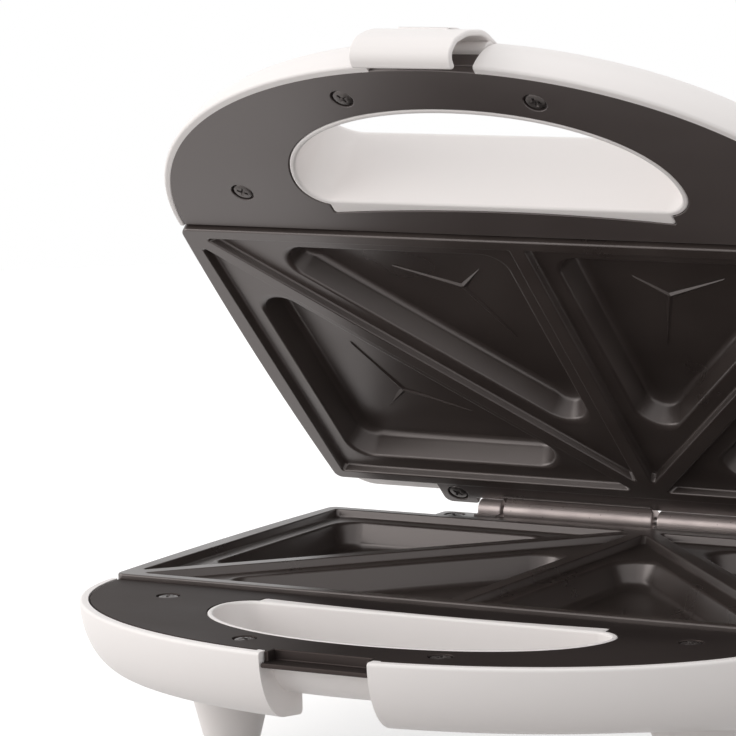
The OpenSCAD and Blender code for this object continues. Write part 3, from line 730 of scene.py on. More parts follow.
class Effects:
    """Shader node groups that more than one finish uses."""

    @staticmethod
    def group(name: str, inputs: dict[str, float], output: str, fill: Callable) -> bpy.types.NodeTree:
        """Returns the group of that name, made once.

        Args:
            name: The group's name.
            inputs: Its inputs beside the vector, and their default values.
            output: Its output.
            fill: Puts the nodes between the group's input and output nodes.

        Returns:
            The group.
        """
        tree = bpy.data.node_groups.get(name)
        if tree:
            return tree
        tree = bpy.data.node_groups.new(name, "ShaderNodeTree")
        tree.interface.new_socket("Vector", in_out="INPUT", socket_type="NodeSocketVector")
        for key, value in inputs.items():
            socket = tree.interface.new_socket(key, in_out="INPUT", socket_type="NodeSocketFloat")
            socket.default_value = value
        tree.interface.new_socket(output, in_out="OUTPUT", socket_type="NodeSocketFloat")
        fill(tree, tree.nodes.new("NodeGroupInput"), tree.nodes.new("NodeGroupOutput"))
        return tree

    @classmethod
    def moulded_grain(cls) -> bpy.types.NodeTree:
        """Returns the fine irregular height of a moulded or coated surface, and its slow waviness."""

        def fill(tree: bpy.types.NodeTree, start: bpy.types.Node, end: bpy.types.Node) -> None:
            """Adds a share of the slow noise to the fine one."""
            fine = add_node(tree, "TexNoise", {"Detail": 3.0})
            slow = add_node(tree, "TexNoise", {"Detail": 1.0})
            mix = add_node(tree, "Math", operation="MULTIPLY_ADD")
            wire(tree, (start, "Vector", fine, "Vector"), (start, "Vector", slow, "Vector"),
                 (start, "Grain", fine, "Scale"), (start, "Wave", slow, "Scale"),
                 (slow, "Fac", mix, 0), (start, "Wave Share", mix, 1), (fine, "Fac", mix, 2),
                 (mix, 0, end, "Height"))

        inputs = {"Grain": 2600.0, "Wave": 45.0, "Wave Share": 0.6}
        return cls.group("moulded_grain", inputs, "Height", fill)

    @classmethod
    def cloudy(cls) -> bpy.types.NodeTree:
        """Returns soft clouds between two levels, as handling and moulding leave on a surface."""

        def fill(tree: bpy.types.NodeTree, start: bpy.types.Node, end: bpy.types.Node) -> None:
            """Spreads a noise between the two levels."""
            noise = add_node(tree, "TexNoise")
            spread = add_node(tree, "MapRange", interpolation_type="SMOOTHSTEP")
            wire(tree, (start, "Vector", noise, "Vector"), (start, "Scale", noise, "Scale"),
                 (start, "Detail", noise, "Detail"), (noise, "Fac", spread, "Value"),
                 (start, "Low", spread, "From Min"), (start, "High", spread, "From Max"),
                 (spread, "Result", end, "Mask"))

        inputs = {"Scale": 18.0, "Detail": 5.0, "Low": 0.3, "High": 0.7}
        return cls.group("cloudy", inputs, "Mask", fill)

    @classmethod
    def speckle(cls) -> bpy.types.NodeTree:
        """Returns small separate specks, as in a sprayed coating; where a finish makes them lighter,
        they also paint tiny glints.
        """

        def fill(tree: bpy.types.NodeTree, start: bpy.types.Node, end: bpy.types.Node) -> None:
            """Fades each cell of a pattern out at the speck's size."""
            cells = add_node(tree, "TexVoronoi")
            near = add_node(tree, "MapRange", {"From Min": 0.0, "To Min": 1.0, "To Max": 0.0})
            wire(tree, (start, "Vector", cells, "Vector"), (start, "Scale", cells, "Scale"),
                 (cells, "Distance", near, "Value"), (start, "Speck", near, "From Max"),
                 (near, "Result", end, "Mask"))

        return cls.group("speckle", {"Scale": 900.0, "Speck": 0.16}, "Mask", fill)


@dataclass(frozen=True)
class Finish:
    """A surface: its colours, gloss and texture.

    Colours are linear. Grain is per metre, and relief is the bump's depth in metres.
    """

    name: str
    colour: Colour
    tint: Colour
    rough: tuple[float, float] = (0.3, 0.45)
    metallic: float = 0.0
    specular: float = 0.5
    gleam: Colour = (1.0, 1.0, 1.0)
    coat: float = 0.0
    coat_rough: float = 0.2
    clouds: tuple[float, float, float, float] = (18.0, 5.0, 0.35, 0.65)
    stretch: Triple = (1.0, 1.0, 1.0)
    grain: float = 2600.0
    wave: float = 45.0
    wave_share: float = 0.6
    relief: float = 0.00002
    bump: float = 0.2
    speck: Colour | None = None
    speck_scale: float = 900.0
    speck_size: float = 0.16

    def build(self) -> bpy.types.Material:
        """Returns the material, made once from shared effects and this finish's own values."""
        found = bpy.data.materials.get(self.name)
        if found:
            return found
        material = bpy.data.materials.new(self.name)
        material.use_nodes = True
        tree = material.node_tree
        shader = tree.nodes["Principled BSDF"]
        gloss_values = {
            "Metallic": self.metallic, "Specular IOR Level": self.specular,
            "Specular Tint": (*self.gleam, 1.0), "Coat Weight": self.coat,
            "Coat Roughness": self.coat_rough,
        }
        for key, value in gloss_values.items():
            shader.inputs[key].default_value = value
        place = add_node(tree, "TexCoord")
        scale = add_node(tree, "Mapping", {"Scale": self.stretch})
        wire(tree, (place, "Object", scale, "Vector"))
        clouds = self.effect(tree, Effects.cloudy(), scale, dict(zip(
            ("Scale", "Detail", "Low", "High"), self.clouds)))
        colour = add_node(tree, "Mix", {"A": (*self.colour, 1.0), "B": (*self.tint, 1.0)},
                          data_type="RGBA")
        wire(tree, (clouds, "Mask", colour, "Factor"))
        last = colour
        # specks: real flecks and pits, and on the coating lighter specks that also paint glints
        if self.speck:
            specks = self.effect(tree, Effects.speckle(), scale,
                                 {"Scale": self.speck_scale, "Speck": self.speck_size})
            last = add_node(tree, "Mix", {"B": (*self.speck, 1.0)}, data_type="RGBA")
            wire(tree, (specks, "Mask", last, "Factor"), (colour, "Result", last, "A"))
        gloss = add_node(tree, "MapRange", {"To Min": self.rough[0], "To Max": self.rough[1]})
        grain = self.effect(tree, Effects.moulded_grain(), scale,
                            {"Grain": self.grain, "Wave": self.wave, "Wave Share": self.wave_share})
        relief = add_node(tree, "Bump", {"Strength": self.bump, "Distance": self.relief})
        wire(tree, (last, "Result", shader, "Base Color"), (clouds, "Mask", gloss, "Value"),
             (gloss, "Result", shader, "Roughness"), (grain, "Height", relief, "Height"),
             (relief, "Normal", shader, "Normal"))
        return material

    @staticmethod
    def effect(tree: bpy.types.NodeTree, group: bpy.types.NodeTree, source: bpy.types.Node,
               values: dict[str, float]) -> bpy.types.Node:
        """Places a shared effect in a material's tree and sets its values."""
        node = tree.nodes.new("ShaderNodeGroup")
        node.node_tree = group
        for key, value in values.items():
            node.inputs[key].default_value = value
        wire(tree, (source, "Vector", node, "Vector"))
        return node


WHITE = Finish("white_plastic", (0.90, 0.862, 0.845), (0.884, 0.845, 0.829), rough=(0.38, 0.45),
               specular=0.5, clouds=(9.0, 2.0, 0.15, 0.85), grain=1500.0, wave=28.0,
               wave_share=1.2, relief=0.00003, bump=0.12)
DARK = Finish("dark_plastic", (0.043, 0.034, 0.032), (0.060, 0.049, 0.046), rough=(0.32, 0.42),
              specular=1.0, gleam=(1.0, 0.92, 0.9), clouds=(16.0, 6.0, 0.32, 0.68),
              stretch=(0.5, 1.0, 1.0), grain=3200.0,
              wave=60.0, wave_share=0.7, relief=0.00003, bump=0.16)
# Painted shade: the lower bezel is the same plastic as the lid's, but this copy dims and darkens its
# reflections so that it reads darker, as the light falls on it
DARK_PAINTED_SHADE = replace(DARK, name="dark_plastic_painted_shade", rough=(0.36, 0.46), metallic=0.6, specular=0.4,
                   gleam=(0.26, 0.22, 0.20))
# The coating's specks are its flecks, and being lighter than the coating they also paint the flecks'
# tiny glints
COATING = Finish("non_stick_coating", (0.040, 0.031, 0.028), (0.054, 0.043, 0.039), rough=(0.27, 0.36),
                 specular=1.0, gleam=(1.0, 0.92, 0.9), clouds=(30.0, 5.0, 0.3, 0.7), grain=2100.0,
                 wave=160.0, wave_share=0.5, relief=0.00004, bump=0.22, speck=(0.09, 0.078, 0.074),
                 speck_scale=1300.0, speck_size=0.12)
# Painted highlight: the knuckles are part of the coated casting, and this light metallic colour stands
# for the highlight that falls on them
KNUCKLE_HIGHLIGHT = Finish("knuckle_painted_highlight", (0.46, 0.40, 0.385), (0.36, 0.31, 0.30), rough=(0.34, 0.46),
                 metallic=0.75, clouds=(60.0, 6.0, 0.3, 0.7), grain=1900.0, wave=200.0,
                 relief=0.00004, bump=0.25, speck=(0.12, 0.1, 0.1), speck_scale=420.0, speck_size=0.13)
STEEL = Finish("bright_steel", (0.62, 0.60, 0.59), (0.52, 0.50, 0.49), rough=(0.18, 0.32), metallic=1.0,
               clouds=(120.0, 6.0, 0.3, 0.7), stretch=(0.15, 1.0, 1.0), grain=3000.0, bump=0.1)
BLACK_STEEL = Finish("blackened_steel", (0.075, 0.066, 0.063), (0.13, 0.115, 0.11), rough=(0.26, 0.42),
                     metallic=0.7, clouds=(240.0, 5.0, 0.35, 0.65), grain=5200.0, wave=700.0,
                     relief=0.00002, bump=0.25)
SHEATH = Finish("heated_sheath", (0.20, 0.175, 0.16), (0.11, 0.085, 0.075), rough=(0.34, 0.55),
                metallic=0.85, clouds=(55.0, 6.0, 0.35, 0.65), grain=2400.0, bump=0.3)
SHEET = Finish("aluminium_sheet", (0.66, 0.66, 0.665), (0.56, 0.56, 0.565), rough=(0.26, 0.42),
               metallic=1.0, clouds=(70.0, 6.0, 0.3, 0.7), stretch=(1.0, 0.06, 1.0), grain=2600.0,
               bump=0.16)
CERAMIC = Finish("fired_ceramic", (0.68, 0.61, 0.50), (0.60, 0.52, 0.41), rough=(0.42, 0.58),
                 clouds=(90.0, 5.0, 0.35, 0.65), grain=3600.0, relief=0.00004, bump=0.3,
                 speck=(0.40, 0.33, 0.25), speck_scale=1100.0, speck_size=0.12)
RUBBER = Finish("soft_rubber", (0.028, 0.027, 0.027), (0.045, 0.043, 0.042), rough=(0.62, 0.78),
                specular=0.35, clouds=(120.0, 5.0, 0.35, 0.65), grain=4200.0, relief=0.00005, bump=0.4)
RED = Finish("red_lens", (0.62, 0.03, 0.02), (0.50, 0.02, 0.015), rough=(0.08, 0.14), coat=0.6,
             coat_rough=0.05, clouds=(160.0, 3.0, 0.35, 0.65), grain=1800.0, bump=0.08)
GREEN = replace(RED, name="green_lens", colour=(0.05, 0.42, 0.08), tint=(0.035, 0.32, 0.06))


@dataclass
class Shell:
    """One white shell: rounded nose, deep heating end, grip opening, bosses and notch."""

    half: Half
    size: Sizes
    depth: float
    rim: float
    nose_r: float
    nose_h: float
    notch: float
    notch_len: float
    slope: float
    legs: bool = False
    leg_root: float = 11.0
    rim_edge: float = 0.9
    lip_edge: float = 0.8
    exit_edge: float = 1.6
    leg_tip_r: float = 6.8
    leg_tip_edge: float = 0.8
    leg_flare: float = 0.5
    leg_wall: float = 2.2
    lens_r: float = 4.05
    cord_r: float = 5.55
    link_r: float = 3.05
    plate_play: float = 0.3
    strip_play: float = 0.5
    strip_seat: float = 5.1
    seat_edge: float = 0.45
    collar_edge: float = 0.5
    collar_h: float = 20.0
    boss_edge: float = 0.6
    pad_hole_z: float = 30.0
    pad_hole_r: float = 2.25
    pin_hole_r: float = 1.25

    def slices(self, d: float, fine: float = 4.0) -> list[Ring]:
        """Returns the slices that the shell's body, drawn in by d, is wrapped round.

        Args:
            d: How far the body is drawn in.
            fine: Degrees between two slices.

        Returns:
            The nose's slices, then those of the deep end.
        """
        s = self.size
        angles = [fine * i for i in range(int(90 / fine) + 1)]
        if angles[-1] < 90:
            angles.append(90.0)
        turns = [(math.sin(math.radians(t)), math.cos(math.radians(t))) for t in angles]
        rings = []
        for sin, cos in turns:
            grow = self.rim - self.nose_r * (1 - cos) - d
            ring = half_oval(s.bezel_a + grow, s.bezel_b + grow, s.front)
            rings.append(level(ring, s.z_bezel + (self.nose_h - d) * sin))
        for sin, cos in turns:
            grow = -s.side_r * (1 - cos) - d
            front = s.front + self.slope * max(0.0, (sin - s.slope_from) / (1 - s.slope_from))
            x, y = s.wall_x + grow, s.shell_y + grow
            ring = round_path([(-x, front), (-x, y), (x, y), (x, front)], [s.corner_r, s.corner_r], 10)
            rings.append(level(ring, s.z_bezel + (self.depth - s.z_bezel - d) * sin))
        return rings

    def body(self, d: float) -> Solid:
        """Returns the shell's closed body, drawn in by d."""
        rings = self.slices(d)
        if d == 0:
            # The rim's outer edge is rounded: the first slices pull in towards the parting plane
            s, e = self.size, self.rim_edge
            del rings[0]
            for a, b in arc_steps(5):
                z = s.z_bezel + e * b
                sin = (z - s.z_bezel) / self.nose_h
                cos = math.sqrt(max(0.0, 1 - sin * sin))
                grow = self.rim - self.nose_r * (1 - cos) - e * a
                rings.append(level(half_oval(s.bezel_a + grow, s.bezel_b + grow, s.front), z))
        return Workshop.hull(rings)

    def inside(self) -> Solid:
        """Returns the hollow: the body drawn in by the wall, less all that stands in it."""
        s = self.size
        lines, past = Outlines(s), self.depth + 5 * OVER
        stay = [Workshop.prism(lambda g: lines.grip(s.grip_wall + g), s.z_bezel - OVER, past)]
        for x, y in s.screw_places() + [(-s.ear_x, s.ear_y), (s.ear_x, s.ear_y)]:
            stay.append(Workshop.rod(s.boss_r, 0.0, past, (x, y, 0.0)))
        wide = s.notch_x + s.notch_wall
        stay.append(Workshop.block((-wide, s.nose_y - s.wall - 5 * OVER, -OVER),
                                   (wide, s.nose_y + self.notch_len + s.notch_wall, past)))
        return Workshop.combine(self.body(s.wall), stay)

    def grip_cutter(self, skin: BVHTree) -> Solid:
        """Returns the grip's cutter, flared at the bezel's face and where it leaves the shell."""
        s = self.size
        lines = Outlines(s)
        e, x = self.lip_edge, self.exit_edge
        rings = [level(lines.bore(e), -OVER), *flare(lines.bore, s.z_bezel, e, 5)]

        def heights(g: float, drop: float) -> Ring:
            """Returns the grown outline, each point at the shell's skin less a drop."""
            ring = []
            for px, py in lines.bore(g):
                hit = skin.ray_cast(Vector((px, py, FAR)), Vector((0, 0, -1)))[0]
                ring.append((px, py, hit.z - drop))
            return ring

        for a, b in reversed(arc_steps(6)):
            rings.append(heights(x * a, x * b))
        rings.append([(px, py, z + 8.0) for px, py, z in heights(x, 0.0)])
        return Workshop.loft(rings)

    def seats(self) -> list[Solid]:
        """Returns the cutters for the plate's and the bezel's seats."""
        s = self.size
        lines = Outlines(s)
        half, flange = FAR / 2, s.z_flange + s.seat
        plate = Workshop.block((-half, s.front - self.plate_play, -OVER), (half, half, flange))
        strip = Workshop.block((-half, s.back - self.strip_play, -OVER), (half, half, self.strip_seat))

        def rim(g: float) -> Outline:
            """Returns the bezel seat's outline grown by g."""
            g += s.seat
            return half_oval(s.bezel_a + g, s.bezel_b + g, s.front + OVER)

        e = self.seat_edge
        rings = [level(rim(e), s.z_bezel - 2 * OVER), *flare(rim, s.z_bezel, e),
                 level(rim(0.0), s.z_bezel + s.bezel_t)]
        collar = flare(lambda g: lines.grip(s.grip_wall - g), s.z_bezel, self.collar_edge)
        collar.append(level(lines.grip(s.grip_wall), s.z_bezel + self.collar_h))
        return [plate, strip, Workshop.combine(Workshop.loft(rings), [Workshop.loft(collar)])]

    def notch_cutter(self) -> Solid:
        """Returns what the notch takes out of the nose."""
        s = self.size
        block = Workshop.block((-s.notch_x, s.nose_y - AHEAD, -OVER),
                               (s.notch_x, s.nose_y + self.notch_len, 2 * self.depth))
        return Workshop.combine(block, [self.body(self.notch)])

    def leg_profile(self, d: float) -> Outline:
        """Returns a leg's profile drawn in by d, from inside the shell down to its tip."""
        z_tip = self.size.z_tip
        tip, top, n = z_tip - d, self.depth - self.leg_root, 16
        out = []
        for i in range(n + 1):
            z = top + (tip - top) * i / n
            out.append((self.leg_tip_r - d + (z_tip - z) * self.leg_flare / 2, z))
        if d == 0:
            e = self.leg_tip_edge
            out[-1] = (out[-1][0], tip - e)
            out += [(self.leg_tip_r - e * a, tip - e * b) for a, b in reversed(arc_steps(4))]
        return [(0.0, top)] + out + [(0.0, tip)]

    def build(self) -> Solid:
        """Returns the dressed shell."""
        s = self.size
        outer = self.body(0.0)
        bm = bmesh.new()
        bm.from_mesh(outer.data)
        skin = BVHTree.FromBMesh(bm)
        bm.free()
        add = []
        cut = [self.inside(), self.grip_cutter(skin), self.notch_cutter(), *self.seats()]
        rear = [(s.link_at, self.link_r)] + ([(s.cord_at, self.cord_r)] if self.legs else [])
        for (x, z), r in rear:
            boss = rod_profile(r + s.wall, s.shell_y - s.side_r, s.shell_y, self.boss_edge)
            add.append(Workshop.lathe(boss, (x, 0, z), ALONG_Y))
            cut.append(Workshop.rod(r, s.back - s.side_r, s.shell_y + OVER, (x, 0, z), ALONG_Y))
        if self.legs:
            for x, y in [(way * s.leg_x, y) for y in s.leg_ys for way in (-1, 1)]:
                add.append(Workshop.lathe(self.leg_profile(0.0), (x, y, 0)))
                cut.append(Workshop.lathe(self.leg_profile(self.leg_wall), (x, y, 0)))
                cut.append(Workshop.rod(self.pad_hole_r, self.pad_hole_z, FAR, (x, y, 0)))
            low = s.keeper_z + s.keeper_t + s.seat
            cut.append(Workshop.block((-s.notch_x, s.nose_y - AHEAD, -OVER),
                                      (s.notch_x, s.keeper_back + s.seat, low)))
        else:
            x = s.notch_x + s.notch_wall + OVER
            cut.append(Workshop.rod(self.pin_hole_r, -x, x, (0, s.pivot_y, s.pivot_z), ALONG_X))
            for way in (-1, 1):
                cut.append(Workshop.rod(self.lens_r, self.depth / 2, 2 * self.depth,
                                        (way * s.lens_x, s.lens_y, 0)))
        for x, y in s.screw_places():
            cut.append(Workshop.rod(s.screw_r, 0.0, s.z_bezel + s.screw_room, (x, y, 0)))
        for way in (-1, 1):
            cut.append(Workshop.rod(s.screw_r, 0.0, s.ear_z + s.screw_room,
                                    (way * s.ear_x, s.ear_y, 0)))
        Workshop.combine(outer, add, "UNION")
        Workshop.combine(outer, cut)
        node = self.half.node("shell")
        return Workshop.place(outer, f"{node}_moulding", self.half, [node], "shell", [WHITE])


@dataclass
class Bezel:
    """One dark bezel round a grip opening, with the keeper or the skirt in the notch."""

    half: Half
    size: Sizes
    edge: float = 0.5
    shadow_gap: float = 0.25
    hole_edge: float = 0.35
    ledge_r: float = 0.35
    small_edge: float = 0.3
    skirt_r: float = 0.4
    weld: float = 0.3

    def panel(self) -> Solid:
        """Returns the flat panel with its grip opening and recesses."""
        s = self.size
        lines = Outlines(s)
        top = s.z_bezel + s.bezel_t
        panel = Workshop.prism(lambda grow: lines.bezel(grow - self.shadow_gap), s.z_bezel, top,
                               self.edge, 0.0, 5)
        e, g, start = self.hole_edge, s.grip_wall + s.seat, s.z_bezel - 2 * OVER
        rings = [level(lines.grip(g + e), start), *flare(lambda d: lines.grip(g + d), s.z_bezel, e),
                 level(lines.grip(g), top + OVER)]
        recess = s.recess(s.z_bezel, start, s.z_bezel + 10)
        screws = [Workshop.lathe(recess, (x, y, 0)) for x, y in s.screw_places()]
        return Workshop.combine(panel, [Workshop.loft(rings), *screws])

    def keeper(self) -> list[Solid]:
        """Returns the stepped ledge with its two cheeks, which the hook grips."""
        s, r, e = self.size, self.ledge_r, self.small_edge

        def step(g: float) -> Outline:
            """Returns the ledge's section, as (y, z), grown by g."""
            inner, back = s.keeper_back - s.keeper_t - g, s.keeper_back + self.weld
            low, high = s.keeper_z - g, s.keeper_z + s.keeper_t + g
            pts = [(s.lip_y - g, low), (inner, low), (inner, s.z_bezel - g), (back, s.z_bezel - g),
                   (back, high), (s.lip_y - g, high)]
            return round_ring(pts, [r, r, r, 0.0, 0.0, r], 4)

        parts = [Workshop.across(step, s.keeper_x, e, 3)]
        for way in (-1, 1):
            x0, x1 = sorted((way * s.keeper_x, way * (s.keeper_x - s.keeper_cheek)))
            parts.append(Workshop.block((x0, s.skirt_y, s.z_bezel),
                                        (x1, s.keeper_back + self.weld, s.keeper_z + s.keeper_t),
                                        e, e))
        return parts

    def build(self) -> Solid:
        """Returns the dressed bezel."""
        s = self.size
        panel = self.panel()
        if self.half.side is Side.LOWER:
            cut = s.keeper_x - s.keeper_cheek / 2
            room = Workshop.block((-cut, s.nose_y - AHEAD, -5 * OVER), (cut, s.keeper_back, AHEAD / 2))
            Workshop.combine(panel, [room])
            Workshop.combine(panel, self.keeper(), "UNION")
        else:
            skirt = Workshop.block((-s.keeper_x, s.skirt_y, s.z_bezel + s.bezel_t - 0.5),
                                   (s.keeper_x, s.skirt_y + s.skirt_t, s.skirt_z),
                                   self.skirt_r, self.small_edge)
            Workshop.combine(panel, [skirt], "UNION")
        node = self.half.node("bezel")
        # the lower bezel takes the copy of the dark plastic with painted shade
        finish = DARK_PAINTED_SHADE if self.half.side is Side.LOWER else DARK
        return Workshop.place(panel, f"{node}_panel", self.half, [node], "bezel", [finish])


@dataclass
class CookingPlate:
    """One cast plate: four stepped pockets, a pan behind them, and its hinge knuckles."""

    half: Half
    size: Sizes
    spans: tuple[tuple[float, float], ...]
    bore: float
    rim_edge: float = 0.5
    rib_half: float = 2.5
    shelf_draft: float = 0.35
    shelf_fillet: float = 0.7
    shelf_w: float = 6.0
    wall_edge: float = 1.1
    pocket_draft: float = 4.0
    floor_fillet: float = 2.4
    mouth_r: float = 0.8
    rim_r: float = 0.9
    shelf_r: float = 1.2
    brink_r: float = 7.5
    floor_r: float = 6.0
    knuckle_r: float = 3.5
    strip_end: float = 69.0
    strip_x: float = 76.0
    ear_w: float = 12.0
    ear_end: float = 72.0
    strip_t: float = 3.8
    strip_r: float = 1.4
    inner_r: float = 0.6
    pan_inset: float = 8.0
    pan_edge: float = 1.2
    tab_x: float = 60.0
    tab_w: float = 20.0
    tab_t: float = 2.5
    tab_out: float = 6.0
    tab_in: float = 9.0
    tab_r: float = 0.8
    tab_edge: float = 0.3
    knuckle_edge: float = 0.45
    web_r: float = 0.3
    web_edge: float = 0.25
    web_z: tuple[float, float] = (0.6, 3.2)
    mark_w: float = 2.4
    mark_h: float = 0.4
    mark_share: float = 0.27
    mark_foot: float = 0.6
    mark_crest: float = 0.5
    mark_ridge: float = 0.08
    mark_slope: float = 0.8

    def pocket_profile(self) -> list[tuple[float, float, float]]:
        """Returns a pocket's levels from its rim to its floor, as (inset, height, corner radius)."""
        s, rib = self.size, self.rib_half
        e, shelf, w, f = self.rim_edge, self.shelf_fillet, self.wall_edge, self.floor_fillet
        foot, brink = rib + self.shelf_draft, rib + self.shelf_w
        wall = brink + (self.pocket_draft - f)
        out = [(rib - e, s.z_rim - 2, self.mouth_r)]
        out += [(rib - e * a, s.z_rim + e * b, self.rim_r) for a, b in arc_steps(4)]
        out += [(foot + shelf * (1 - cos), s.z_shelf - shelf * (1 - sin), self.shelf_r)
                for sin, cos in quarter(4)]
        out += [(brink - w + w * sin, s.z_shelf + w * (1 - cos), self.brink_r)
                for sin, cos in quarter(5)]
        out += [(wall + f * (1 - cos), s.z_floor - f * (1 - sin), self.floor_r)
                for sin, cos in quarter(6)]
        return out

    def pocket(self, tri: Sequence[Vector]) -> Solid:
        """Returns the cutter of one pocket."""
        return Workshop.loft([level(tri_ring(tri, d, r), z) for d, z, r in self.pocket_profile()])

    def mark(self, tri: Sequence[Vector]) -> list[Solid]:
        """Returns the raised three-armed mark in one pocket, each arm a low ridge."""
        floor = self.size.z_floor
        mid, _ = tri_centre(tri)
        arms = []
        for p in tri:
            u = (p - mid).normalized()
            v = Vector((-u.y, u.x)) * self.mark_w / 2
            tip = mid + (p - mid) * self.mark_share
            root, ridge = mid - u * self.mark_crest, v * self.mark_ridge
            base = [mid - u * self.mark_foot - v, mid - u * self.mark_foot + v, tip]
            top = [root - ridge, root + ridge, tip - u * self.mark_slope]
            sections = ((base, floor + OVER), (base, floor + 0.02), (top, floor - self.mark_h))
            arms.append(Workshop.loft([[(q.x, q.y, z) for q in points] for points, z in sections]))
        return arms

    def strip(self) -> Solid:
        """Returns the strip behind the plate with an ear at each end."""
        s = self.size
        y0 = s.back - 0.4
        inner = self.strip_x - self.ear_w

        def outline(g: float) -> Outline:
            """Returns the strip's outline grown by g."""
            left = [(-self.strip_x - g, y0 - g), (-self.strip_x - g, self.ear_end + g),
                    (-inner + g, self.ear_end + g), (-inner + g, self.strip_end + g)]
            r = max(self.strip_r + g, 0.1)
            radii = [0.1, r * 2, r, self.inner_r]
            return round_ring(left + mirrored(left), radii + radii[::-1], 5)

        return Workshop.prism(outline, s.ear_z, s.ear_z + self.strip_t, 0.4, 0.3, 3)

    def back(self) -> list[Solid]:
        """Returns what stands behind and beside the flange."""
        s = self.size
        lines = Outlines(s)
        parts = [Workshop.prism(lambda g: lines.plate(g - self.pan_inset), s.z_flange - OVER, s.z_pan,
                                r1=self.pan_edge)]
        for way in (-1, 1):
            x, w = way * self.tab_x, self.tab_w / 2
            parts.append(Workshop.rod(s.boss_r, s.z_pan - OVER, s.z_stud, (way * s.stud_x, 0, 0)))
            parts.append(Workshop.block((x - w, s.front - self.tab_out, s.z_flange),
                                        (x + w, s.front + self.tab_in, s.z_flange + self.tab_t),
                                        self.tab_r, self.tab_edge))
        return parts + [self.strip()]

    def hinge(self) -> list[Solid]:
        """Returns the knuckles with the webs that join them to the strip."""
        s = self.size
        z0, z1 = self.web_z
        parts = []
        for x0, x1 in self.spans:
            profile = rod_profile(self.knuckle_r, x0, x1, self.knuckle_edge)
            parts.append(Workshop.lathe(profile, (0, s.hinge_y, 0), ALONG_X))
            parts.append(Workshop.block((x0, self.strip_end - 2, z0), (x1, s.hinge_y, z1),
                                        self.web_r, self.web_edge))
        return parts

    def mark_knuckles(self, mesh: bpy.types.Mesh) -> None:
        """Gives the knuckles' faces the second material, the light colour that paints their highlight.
        """
        s = self.size
        for face in mesh.polygons:
            out = math.hypot(face.center.y - s.hinge_y, face.center.z)
            if face.center.y > self.strip_end + 0.4 and 1.7 < out < self.knuckle_r + 0.1:
                if any(x0 - 0.1 < face.center.x < x1 + 0.1 for x0, x1 in self.spans):
                    face.material_index = 1

    def build(self) -> Solid:
        """Returns the dressed plate."""
        s = self.size
        lines = Outlines(s)
        plate = Workshop.prism(lines.plate, s.z_rim, s.z_flange, 0.6, 0.4)
        Workshop.combine(plate, self.back() + self.hinge(), "UNION")
        cut = [self.pocket(tri) for tri in lines.pockets()]
        cut.append(Workshop.rod(self.bore, -FAR / 2, FAR / 2, (0, s.hinge_y, 0), ALONG_X))
        for way in (-1, 1):
            cut.append(Workshop.lathe(s.recess(s.ear_z, -2.0, 30.0), (way * s.ear_x, s.ear_y, 0)))
            cut.append(Workshop.rod(s.screw_r, s.z_stud - 8, FAR, (way * s.stud_x, 0, 0)))
        Workshop.combine(plate, cut)
        Workshop.combine(plate, [arm for tri in lines.pockets() for arm in self.mark(tri)], "UNION")
        plate.data.materials.clear()
        # the second finish paints the highlight on the knuckles
        for finish in (COATING, KNUCKLE_HIGHLIGHT):
            plate.data.materials.append(finish.build())
        self.mark_knuckles(plate.data)
        node = self.half.node("plate")
        return Workshop.place(plate, f"{node}_casting", self.half, [node], "plate", [COATING, KNUCKLE_HIGHLIGHT])


